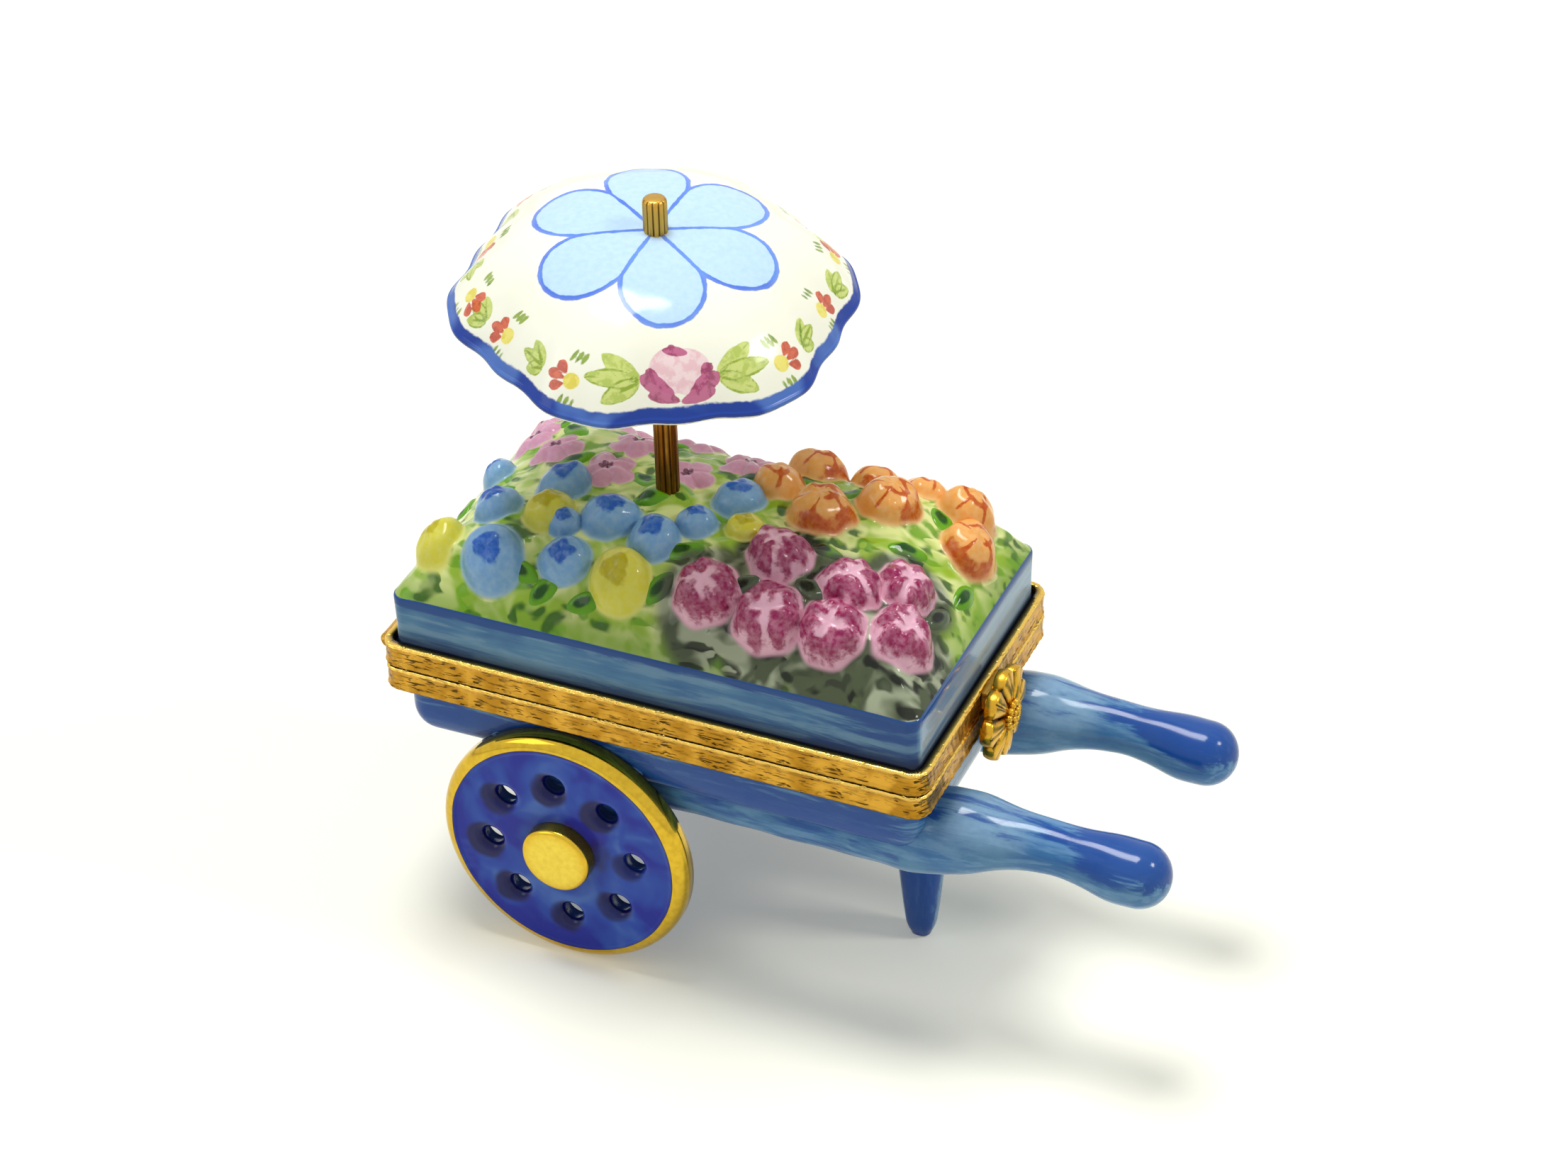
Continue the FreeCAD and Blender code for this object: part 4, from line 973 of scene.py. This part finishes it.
# Blue and yellow blossoms
# Round buds raised in the clay with hollow skirts that run out into the bed. The tops carry a second,
# stronger wash of the same colour.
BLUE_BUDS = ((-26.2, 2.0, 2.2), (-15.8, -2.6, 2.9), (-21.6, -7.0, 2.6), (-8.6, -6.4, 2.9), (-19.0, -13.2, 3.4),
             (-11.2, -12.0, 2.6), (-3.0, -7.8, 2.7), (0.2, -4.2, 2.2), (2.6, 1.2, 2.6), (-13.0, -8.4, 1.8))
YELLOW_BUDS = ((-26.2, -11.6, 2.9), (-15.2, -7.5, 2.6), (-4.6, -12.6, 3.3), (5.4, -3.3, 2.0))


def blossom_form(x, y, radius, seed, shape, rows=34, columns=64, spread=1.32):
    """A blossom on the bed, whose skirt runs out to `spread` of its radius.

    shape(share, turn, dice) gives its height over the radius, its `dab` and its outline over the radius.
    """
    dice = np.random.default_rng(seed)
    turn = turns(columns)[None, :]
    share = np.linspace(0.03, spread, rows)[:, None]
    height, dab, outline = shape(share, turn, dice)
    reach = share * outline * radius
    lift = radius * height - 0.12 * ease(share, spread - 0.12, spread)
    points = on_bed(x, y, reach * np.cos(turn), reach * np.sin(turn), lift)
    halo = ease(share, 0.94, spread - 0.08) + 0 * turn
    return shell(points, first=True, last=True, dab=dab + 0 * turn, foot=halo, low=0.0,
                 grey=greyness(points[..., 0], points[..., 1]))


def blossoms(places, seed, shape, *sizes):
    """A blossom at each (x, y, radius), with dice of its own."""
    return [blossom_form(*place, seed + count, shape, *sizes) for count, place in enumerate(places)]


def bell(share, width, power):
    """exp(-(share / width) ^ power): level on top, steep at the side and hollow at the foot."""
    return np.exp(-(share / width) ** power)


def ball_top(share, power=2.3, soft=16.0):
    """The square root of one minus share ^ power, run out to zero by a soft limit instead of a hard one."""
    return np.sqrt(np.log1p(np.exp(soft * (1 - share ** power))) / soft)


def bud_shape(share, turn, dice):
    """A ball top of 0.84 with a raised cap whose outline is a soft triangle or square."""
    sides, start = dice.integers(3, 5), dice.uniform(0, 6.3)
    outline = 1.0 + 0.05 * np.cos(2 * turn + start)
    cap_edge = 0.52 + 0.07 * np.cos(sides * turn + start)
    cap = 1 - ease(share / cap_edge, 0.5, 1.3)
    lobes = 0.025 * np.cos(sides * turn + start + 0.8) * np.sin(np.clip(share, 0, 1) * math.pi)
    height = 0.84 * ball_top(share, 2.6) + 0.05 * cap + lobes
    return height, cap, outline


def blossom_paint(name, body, top, rim):
    """A body colour, the stronger wash of the top, a pale rim and the foliage at the foot."""
    made, tree = new_material(name)
    brush = use(tree, BRUSH, {"Vector": place_of(tree), "Stretch": (1.0, 1.0, 1.0)})
    wash = mixed(tree, times(tree, brush["Mottle"], 0.35), body, rim)
    ragged = times(tree, sums(tree, "SUBTRACT", brush["Stroke"], 0.5), 0.35)
    dab = levels(tree, sums(tree, "ADD", painted(tree, "dab"), ragged), 0.25, 0.7)
    strong = mixed(tree, times(tree, brush["Mottle"], 0.35), top, body)
    wash = mixed(tree, dab, wash, strong)
    foot = painted(tree, "foot")
    wash = mixed(tree, levels(tree, foot, 0.05, 0.5, 0.0, 0.6), wash, rim)
    base = mixed(tree, levels(tree, foot, 0.3, 1.0), wash, foliage_of(tree))
    fired(tree, base)
    return made


BLUE_PAINT = blossom_paint("blue petals", "#74A2D2", "#1656B8", "#A8C6D4")
YELLOW_PAINT = blossom_paint("yellow petals", "#D6CE3E", "#B6A812", "#DEE08A")
piece("blue_buds", blossoms(BLUE_BUDS, 10, bud_shape), "lid", BLUE_PAINT, ["blue_blossoms"])
piece("yellow_buds", blossoms(YELLOW_BUDS, 40, bud_shape), "lid", YELLOW_PAINT,
      ["yellow_blossoms"])

# Lilac blossoms
# Low five-petalled flowers, almost flat on the bed, with a plum-coloured dab for the eye of each.
LILAC_FLOWERS = ((-25.2, 9.3, 2.7), (-26.6, 14.0, 2.2), (-12.8, 1.4, 2.6), (-16.4, 13.6, 3.0),
                 (-20.6, 5.0, 2.4), (-4.4, 3.6, 2.3), (-7.2, 12.6, 2.6), (0.6, 8.6, 2.6), (-12.0, 7.6, 2.4),
                 (-0.6, 13.4, 2.2))


def lilac_shape(share, turn, dice):
    """Five lobes of 0.3 height round a dimple: the outline goes as the absolute cosine of 2.5 turns."""
    start = dice.uniform(0, 6.3)
    lobe = np.abs(np.cos(2.5 * turn + start)) ** 0.7
    outline = 0.86 + 0.42 * lobe + 0.03 * np.cos(3 * turn)
    height = 0.34 * bell(share, 0.88, 5) * (0.7 + 0.3 * lobe) - 0.1 * bell(share, 0.25, 2)
    return height, 1 - ease(share, 0.2, 0.3), outline


LILAC_PAINT = blossom_paint("lilac petals", "#CE90B0", "#5E2340", "#E2BCC6")
piece("lilac_flowers", blossoms(LILAC_FLOWERS, 60, lilac_shape, 26, 80, 1.2), "lid", LILAC_PAINT,
      ["lilac_blossoms"])

# Orange roses
# Full domes with a few soft folds, a peach wash and rust-coloured strokes of a fine brush.
ORANGE_ROSES = ((7.0, 11.8, 3.2), (5.2, 5.6, 2.6), (11.6, 2.0, 3.3), (17.0, 7.2, 3.2), (13.4, 12.6, 2.8),
                (18.6, 13.0, 2.8), (23.8, 12.4, 3.2), (25.8, 7.4, 3.2))


def rose_shape(share, turn, dice):
    """A full ball top with three to five faint folds; its dabs are curved rays and part of a ring."""
    folds, start = dice.integers(3, 6), dice.uniform(0, 6.3)
    outline = 1.02 + 0.03 * np.cos(folds * turn + start)
    fold = np.cos(folds * turn + start + 1.2 * share)
    height = 0.92 * ball_top(share) + 0.02 * fold * np.sin(np.clip(share, 0, 1) * math.pi)
    rays = np.exp(-((1 - np.cos(folds * turn + start + 2.6 * share)) / 0.09)) * ease(share, 0.15, 0.35)
    rays = rays * (1 - ease(share, 0.8, 1.0))
    ring = np.exp(-((share - 0.42 - 0.1 * np.cos(2 * turn + start)) / 0.085) ** 2)
    ring = ring * ease(np.cos(turn + start), -0.5, 0.1)
    side = 0.7 * ease(share, 0.7, 0.9) * ease(np.cos(turn - start), 0.1, 0.6)
    return height, np.clip(rays + ring + side, 0, 1), outline


ORANGE_PAINT = blossom_paint("orange petals", "#ECA450", "#C04A08", "#F4CE94")
piece("rose_domes", blossoms(ORANGE_ROSES, 80, rose_shape, 40, 96), "lid", ORANGE_PAINT,
      ["orange_roses"])

# Magenta peonies
# Ruffled heads with knobbly edges round a lighter hollow, pink with thick dabs of magenta on the knobs.


def peony_shape(share, turn, dice):
    """A ball top of 0.78 with a ring of knobs at 0.72 of the radius and a shallow hollow inside it."""
    start = dice.uniform(0, 6.3, 4)
    outline = 1.05 + 0.03 * np.cos(3 * turn + start[0]) + 0.03 * np.cos(7 * turn + start[2])
    knobs = 0.5 + 0.5 * np.cos(7 * turn + start[2] + 1.5 * np.sin(turn + start[3]))
    ring = np.exp(-((share - 0.72 - 0.05 * np.cos(3 * turn + start[1])) / 0.3) ** 2)
    inner = np.exp(-((share - 0.3) / 0.14) ** 2) * (0.5 + 0.5 * np.cos(4 * turn + start[3]))
    height = 0.78 * ball_top(share, 2.8) + 0.1 * ring * knobs + 0.06 * inner - 0.06 * bell(share, 0.3, 2)
    gap = 0.5 * ease(np.cos(3 * turn + start[1]), 0.55, 0.95)
    return height, np.clip(ring * (0.85 + 0.5 * knobs - gap) + 0.6 * inner, 0, 1.2), outline


PEONY_PAINT = blossom_paint("magenta petals", "#E8B4C8", "#90084E", "#DFA8BC")
piece("peony_heads", blossoms(PEONIES, 100, peony_shape, 44, 120), "lid", PEONY_PAINT,
      ["magenta_peonies"])

# Parasol pole
# A reeded brass rod screwed into the lid. It is brown below the canopy, and its stub above the
# canopy is filed flat and bright.
POLE_RADIUS, POLE_TOP, REEDS = 1.25, 86.5, 12


def pole_form():
    """Circles up the axis; between reeds the radius dips by 0.15 mm with the 12th power of a sine."""
    turn = turns(144)
    z = np.concatenate([[46.0], np.linspace(50.5, POLE_TOP - 0.5, 90), POLE_TOP - np.array([0.25, 0.08, 0])])
    reach = np.full(len(z), POLE_RADIUS)
    reach[-3:] = (1.2, 1.05, 0.9)
    groove = np.abs(np.sin(REEDS / 2 * turn)) ** 12
    depth = 0.15 * ease(z, 50.0, 50.6) * (1 - ease(z, 86.1, 86.45))
    radius = reach[:, None] - depth[:, None] * groove
    points = np.stack([POLE[0] + radius * np.cos(turn), POLE[1] + radius * np.sin(turn),
                       np.broadcast_to(z[:, None], radius.shape)], axis=-1)
    # Brown below the canopy, brighter on the stub above it.
    aged = 1 - ease(z, 80.5, 83.5)
    return shell(points, first=True, last=True, low=groove * (depth[:, None] > 0), aged=aged[:, None])


def reeded_brass():
    """Brown brass with dark grooves, brighter towards the stub, drawn along the rod."""
    made, tree = new_material("reeded brass")
    where = node(tree, "Mapping", {"Vector": place_of(tree), "Scale": (1.0, 1.0, 0.08)}).outputs[0]
    drawn = noise(tree, where, 2400.0, 4.0)
    stain = noise(tree, place_of(tree), 300.0, 3.0)
    metal = mixed(tree, painted(tree, "aged"), "#C59A45", "#8A5416")
    metal = mixed(tree, levels(tree, drawn, 0.45, 0.75, 0.0, 0.4), metal, "#D8AA50")
    metal = mixed(tree, levels(tree, stain, 0.45, 0.7, 0.0, 0.5), metal, "#5E3A12")
    metal = mixed(tree, levels(tree, painted(tree, "low"), 0.2, 0.8, 0.0, 0.8), metal, "#3A2208")
    bare_metal(tree, metal, 0.33, drawn, 0.4, 0.00003)
    return made


piece("reeded_pole", [pole_form()], "lid", reeded_brass(), ["parasol_pole"])

# Canopy
# A shallow six-sided porcelain dome with a scalloped edge, glazed ivory. A six-petalled blue flower is
# painted round the rod, a garland runs above the edge and a cobalt line covers the edge itself.
CANOPY_AT = (-5.5, 0.0, 74.6)
CANOPY_REACH, CANOPY_SHARPNESS, CANOPY_CIRCLE = 19.2, 11, 19.9
CANOPY_RISE, CANOPY_POWER = 8.34, 3.4
CANOPY_TURN, TILT_X, TILT_Y = 3.4, 5.4, 5.5
CANOPY_THICK, CANOPY_LIP, SCALLOP = 1.7, 0.9, 0.2
ROSE_TURN = 300.0
FLOWER_TURN, PETAL_HALF, PETAL_STRAIGHT, PETAL_END = 27, 4.15, 8.6, 4.3
FAR = 9.0


def canopy_reach(turn, share, scallop):
    """Distance from the middle: six sides, 18 scallops, and a circle towards the middle.

    The side's reach is divided by the 11th root of the sum of the 11th powers of the cosines of the turns
    away from each side, which rounds the corners.
    """
    facing = [np.maximum(0, np.cos(turn - math.pi / 3 * side)) ** CANOPY_SHARPNESS for side in range(6)]
    edge = CANOPY_REACH * np.sum(facing, axis=0) ** (-1 / CANOPY_SHARPNESS)
    edge = edge - scallop * np.cos(18 * (turn - math.pi / 6))
    inner = np.minimum(1.0, (1 - share) * 1.5)
    return share * (edge * (1 - inner) + CANOPY_CIRCLE * inner)


def dome(turn, share, shrink=0.0, scallop=SCALLOP):
    """Points on the dome in the canopy's own frame; the height falls with the 3.4th power of the share."""
    edge = 1 - shrink / CANOPY_REACH
    reach = canopy_reach(turn, share * edge, scallop)
    height = (CANOPY_RISE - shrink) * (1 - share ** CANOPY_POWER)
    return np.stack([reach * np.cos(turn), reach * np.sin(turn), height + 0 * reach], axis=-1)


def tilted(points):
    """Turned about Z, then X, then Y, and lifted to the top of the rod."""
    turn = Matrix.Rotation(math.radians(TILT_Y), 3, "Y") @ Matrix.Rotation(math.radians(TILT_X), 3, "X")
    turn = np.array(turn @ Matrix.Rotation(math.radians(CANOPY_TURN), 3, "Z"))
    return points @ turn.T + np.array(CANOPY_AT)


def stroke(points, start, end, width, belly=0.5):
    """Signed distance in mm to a brush stroke between two dome places, widest at `belly` of its length.

    Below zero is inside. start and end are (turn in degrees, share).
    """
    a, b = (dome(np.radians(t), np.array(s), scallop=0.0) for t, s in (start, end))
    line = b - a
    length = np.linalg.norm(line)
    along = np.clip(((points - a) @ line) / length ** 2, 0, 1)
    away = np.linalg.norm(points - a - along[..., None] * line, axis=-1)
    fat = np.sin(along ** (math.log(0.5) / math.log(belly)) * math.pi) ** 0.6
    return away - width * (0.12 + 0.88 * fat)


def blot(points, place, radius):
    """Signed distance in mm to a round spot."""
    middle = dome(np.radians(place[0]), np.array(place[1]), scallop=0.0)
    return np.linalg.norm(points - middle, axis=-1) - radius


def flower_petals(points):
    """Signed distance to the nearest of six teardrops, from the rod out to 12.9 mm."""
    turn, reach = np.arctan2(points[..., 1], points[..., 0]), np.hypot(points[..., 0], points[..., 1])
    from_axis = (turn - math.radians(FLOWER_TURN)) % (math.pi / 3) - math.pi / 6
    along, across = reach * np.cos(from_axis), np.abs(reach * np.sin(from_axis))
    half = PETAL_HALF * np.sin(np.clip(along / PETAL_STRAIGHT, 0, 1) * math.pi / 2) ** 1.1
    limit = np.minimum(half, along * math.tan(math.pi / 6))
    end = np.hypot(np.maximum(along - PETAL_STRAIGHT, 0) / PETAL_END, across / PETAL_HALF) * 4.2 - 4.2
    return np.where(along < PETAL_STRAIGHT, across - limit, end)


def garland(points):
    """The paints of the garland, as signed distances: green, dark green, red, yellow, pink and magenta."""
    paints = {key: [] for key in ("green", "dark", "red", "yellow", "pink", "plum")}

    def at(side, offset, share):
        return (ROSE_TURN + side * offset + shift, share)

    def flower(side, offset):
        for turn, share, start in ((6.2, 0.858, 0.885), (8.6, 0.903, 0.9), (6.4, 0.945, 0.915)):
            paints["red"].append(stroke(points, at(side, offset + 2.0, start), at(side, offset + turn, share),
                                        0.58, 0.65))
        paints["yellow"].append(blot(points, at(side, offset, 0.9), 0.85))
        for step in (-1, 0, 1):
            paints["dark"].append(stroke(points, at(side, offset + 2.0 * step - 1.0, 0.79),
                                         at(side, offset + 2.0 * step + 0.6, 0.84), 0.2))
            paints["dark"].append(stroke(points, at(side, offset + 1.8 * step - 0.6, 0.945),
                                         at(side, offset + 1.8 * step + 0.3, 0.985), 0.2))

    def bunch(side, base, tips, half):
        for tip in tips:
            start, end = at(side, *base), at(side, *tip)
            leaf = stroke(points, start, end, half, 0.45)
            paints["green"].append(leaf)
            paints["dark"].append(np.abs(leaf + 0.08) - 0.06 + 0.1 * (tip[1] < 0.87))
            paints["dark"].append(stroke(points, start, end, 0.16, 0.5))

    for shift in (0.0, 180.0):
        for side in (-1, 1):
            bunch(side, (13.2, 0.88), ((26.5, 0.785), (30.2, 0.87), (23.5, 0.945)), 1.0)
            bunch(side, (45.5, 0.91), ((52.5, 0.845), (55.0, 0.895), (51.5, 0.945)), 0.8)
            bunch(side, (75.0, 0.91), ((81.5, 0.85), (84.5, 0.90), (81.0, 0.955)), 0.8)
            for offset in (34, 64):
                flower(side, offset)
        flower(1, 92)
        paints["pink"] += [blot(points, at(1, -2.0, 0.845), 2.3), blot(points, at(1, 3.0, 0.855), 2.3)]
        for start, end, width in (((-12.5, 0.862), (-2, 0.935), 0.85), ((13, 0.872), (3, 0.94), 0.9),
                                  ((-10, 0.925), (0, 0.95), 0.6), ((11, 0.925), (0, 0.955), 0.65),
                                  ((-11, 0.84), (-7, 0.87), 0.5), ((11.5, 0.835), (7.5, 0.87), 0.55)):
            paints["plum"].append(stroke(points, at(1, *start), at(1, *end), width, 0.4))
        for start, end, width in (((-5.5, 0.765), (4, 0.785), 0.6), ((-3, 0.745), (0, 0.785), 0.5)):
            paints["plum"].append(stroke(points, at(1, *start), at(1, *end), width) + 0.1)
    return {key: np.min(value, axis=0) for key, value in paints.items()}


def canopy_form():
    """The dome from the rod out, over the lip and back under, in one closed shell with its paints."""
    turn = turns(540)[None, :]
    share = np.concatenate([np.linspace(0.06, 0.68, 46), np.linspace(0.69, 1.0, 62)])[:, None]
    top = dome(turn, share)
    rim = top[-1:]
    out = rim * np.array([1, 1, 0]) / np.linalg.norm(rim[..., :2], axis=-1)[..., None]
    bend = np.linspace(0, math.pi, 11)[1:-1, None, None]
    lip = rim + out * 0.28 * np.sin(bend) + np.array([0, 0, -1]) * 0.55 * CANOPY_LIP * (1 - np.cos(bend))
    lip = lip - out * CANOPY_THICK * 0.35 * (bend / math.pi) ** 3
    under_share = np.concatenate([np.linspace(1.0, 0.7, 14), np.linspace(0.62, 0.08, 12)])[:, None]
    under = dome(turn, under_share, CANOPY_THICK, 0.12)
    under[0, :, 2] -= 0.5 * CANOPY_LIP
    points = np.concatenate([top, lip, under])
    count = len(top)
    over = np.concatenate([np.ones(count), np.zeros(len(points) - count)])[:, None]
    paints = garland(points)
    paints["petal"] = flower_petals(points)
    paints = {key: np.where(over > 0.5, value, FAR) for key, value in paints.items()}
    down = np.concatenate([canopy_reach(turn, 1.0, 0.0) - canopy_reach(turn, share, 0.0),
                           np.linspace(-0.1, -1.6, len(lip))[:, None] + 0 * turn,
                           np.full((len(under), turn.shape[1]), FAR)])
    paints["rim_line"] = np.abs(down + 0.12) - 0.72
    return shell(tilted(points), first=True, last=True, **paints)


def edge_group():
    """A brushed edge: one inside a signed distance in mm and zero outside, wavering with the brush."""
    tree, given, out = effect("brushed edge", {"Vector": "Vector", "Distance": "Float", "Soft": "Float"},
                              {"Mask": "Float"})
    waver = sums(tree, "SUBTRACT", noise(tree, given["Vector"], 900.0, 3.0), 0.5)
    moved = sums(tree, "ADD", given["Distance"], times(tree, waver, 0.35))
    share = sums(tree, "DIVIDE", moved, given["Soft"])
    tree.links.new(levels(tree, share, -0.5, 0.5, 1.0, 0.0), out["Mask"])
    return tree


BRUSHED_EDGE = edge_group()


def canopy_paint():
    """Ivory glaze with the painted flower, garland and edge line."""
    made, tree = new_material("ivory glaze and painted garland")
    where = place_of(tree)
    brush = use(tree, BRUSH, {"Vector": where, "Stretch": (1.0, 1.0, 1.0)})

    def inside(distance, soft=0.12):
        return use(tree, BRUSHED_EDGE, {"Vector": where, "Distance": distance, "Soft": soft})["Mask"]

    base = mixed(tree, times(tree, brush["Cloud"], 0.5), IVORY, "#F6F6E2")
    petal = mixed(tree, times(tree, brush["Mottle"], 0.6), "#C4E2FA", "#B4D6F4")
    base = mixed(tree, inside(painted(tree, "petal")), base, petal)
    line = inside(sums(tree, "SUBTRACT", sums(tree, "ABSOLUTE", painted(tree, "petal")), 0.24))
    outline = mixed(tree, brush["Cloud"], "#3568DC", "#5A8AE8")
    base = mixed(tree, times(tree, line, 0.9), base, outline)
    for name, light, deep in (("green", "#D0DC74", "#B2C64A"), ("dark", "#8CA82C", "#5C8412"),
                              ("pink", "#F6DADC", "#EDC0C8"), ("plum", "#C25A88", "#98245C"),
                              ("red", "#DA5A30", "#BE3610"), ("yellow", "#F2E468", "#E6D43C")):
        tone = mixed(tree, levels(tree, brush["Stroke"], 0.2, 0.9), light, deep)
        base = mixed(tree, times(tree, inside(painted(tree, name)), 0.92), base, tone)
    cobalt = mixed(tree, levels(tree, brush["Cloud"], 0.2, 0.8), "#1C409E", "#4E74C2")
    base = mixed(tree, inside(painted(tree, "rim_line"), 0.15), base, cobalt)
    fired(tree, base)
    return made


piece("canopy_dome", [canopy_form()], "lid", canopy_paint(), ["canopy"])

# Floor and light
# A pale seamless sheet under the object, a soft panel overhead, two weaker ones at the sides and a pale room.
FLOOR_HALF = 3.0


def white_ways(tree):
    """One on the rays that see the backdrop: from the camera, off metal and glaze, and through glass."""
    ways = node(tree, "LightPath").outputs
    return sums(tree, "MAXIMUM", ways["Is Camera Ray"],
                sums(tree, "MAXIMUM", ways["Is Glossy Ray"], ways["Is Transmission Ray"]))


def floor_sheet():
    """A wide flat sheet at the height of the object's feet, white to the camera and grey where shaded."""
    mesh = bpy.data.meshes.new("floor_sheet")
    corners = [(FLOOR_HALF * x, FLOOR_HALF * y, 0) for x, y in ((-1, -1), (1, -1), (1, 1), (-1, 1))]
    mesh.from_pydata(corners, [], [(0, 1, 2, 3)])
    made = bpy.data.objects.new("floor_sheet", mesh)
    bpy.context.scene.collection.objects.link(made)
    material, tree = new_material("pale floor")
    seen = white_ways(tree)
    matt = node(tree, "BsdfDiffuse", {"Color": colour("#F7F6E8")})
    glow = node(tree, "Emission", {"Color": colour("#FFFEF0"), "Strength": times(tree, seen, 0.2)})
    both = node(tree, "AddShader", {0: matt.outputs[0], 1: glow.outputs[0]})
    node(tree, "OutputMaterial", {"Surface": both.outputs[0]})
    mesh.materials.append(material)


def panel(name, place, aim, size, power, tint):
    """A square lamp that faces a point."""
    data = bpy.data.lights.new(name, "AREA")
    data.shape = "SQUARE"
    data.size = size
    data.energy = power
    data.color = tint
    made = bpy.data.objects.new(name, data)
    made.location = place
    made.rotation_mode = "QUATERNION"
    made.rotation_quaternion = (Vector(aim) - Vector(place)).to_track_quat("-Z", "Y")
    bpy.context.scene.collection.objects.link(made)


def room():
    """White to the camera and in reflections; a dimmer pale room to everything else."""
    world = bpy.data.worlds.new("pale room")
    bpy.context.scene.world = world
    world.use_nodes = True
    tree = world.node_tree
    tree.nodes.clear()
    seen = white_ways(tree)
    dim = node(tree, "Background", {"Color": colour("#F2F4F6"), "Strength": 0.36})
    white = node(tree, "Background", {"Color": (1.0, 1.0, 1.0, 1.0), "Strength": 1.0})
    both = node(tree, "MixShader", {0: seen, 1: dim.outputs[0], 2: white.outputs[0]})
    node(tree, "OutputWorld", {"Surface": both.outputs[0]})


floor_sheet()
room()
panel("panel_over", (-0.12, 0.05, 0.8), (0.0, 0.0, 0.03), 0.26, 4.1, (1.0, 1.0, 0.99))
panel("panel_right", (0.5, 0.1, 0.5), (0.0, 0.0, 0.04), 0.12, 1.1, (1.0, 0.98, 0.94))
panel("panel_left", (-0.45, -0.35, 0.4), (0.0, 0.0, 0.04), 0.3, 0.5, (0.95, 0.98, 1.0))

# Camera
# It stands to the right of the near side and looks down on the box, as the photograph was taken.
AZIMUTH, ELEVATION, ROLL = 24.45, 35.34, -1.51
DISTANCE, AIM = 0.41729, Vector((-0.013625, 0.02359, 0.0237))
FOCUS_PIXELS, FRAME_PIXELS = 5200, 2212


def camera():
    """Placed by azimuth, elevation and distance from the aim, then rolled about its own line of sight."""
    a, e = math.radians(AZIMUTH), math.radians(ELEVATION)
    back = Vector((math.sin(a) * math.cos(e), -math.cos(a) * math.cos(e), math.sin(e)))
    right = Vector((math.cos(a), math.sin(a), 0.0))
    up = back.cross(right)
    roll = math.radians(ROLL)
    right, up = right * math.cos(roll) + up * math.sin(roll), up * math.cos(roll) - right * math.sin(roll)
    data = bpy.data.cameras.new("camera")
    data.sensor_width = 36
    data.lens = FOCUS_PIXELS / FRAME_PIXELS * data.sensor_width
    data.clip_start, data.clip_end = 0.01, 20
    made = bpy.data.objects.new("camera", data)
    turn = Matrix((right, up, back)).transposed()
    made.matrix_world = Matrix.Translation(AIM + back * DISTANCE) @ turn.to_4x4()
    bpy.context.scene.collection.objects.link(made)
    bpy.context.scene.camera = made


camera()
bpy.context.scene.view_settings.view_transform = "Standard"
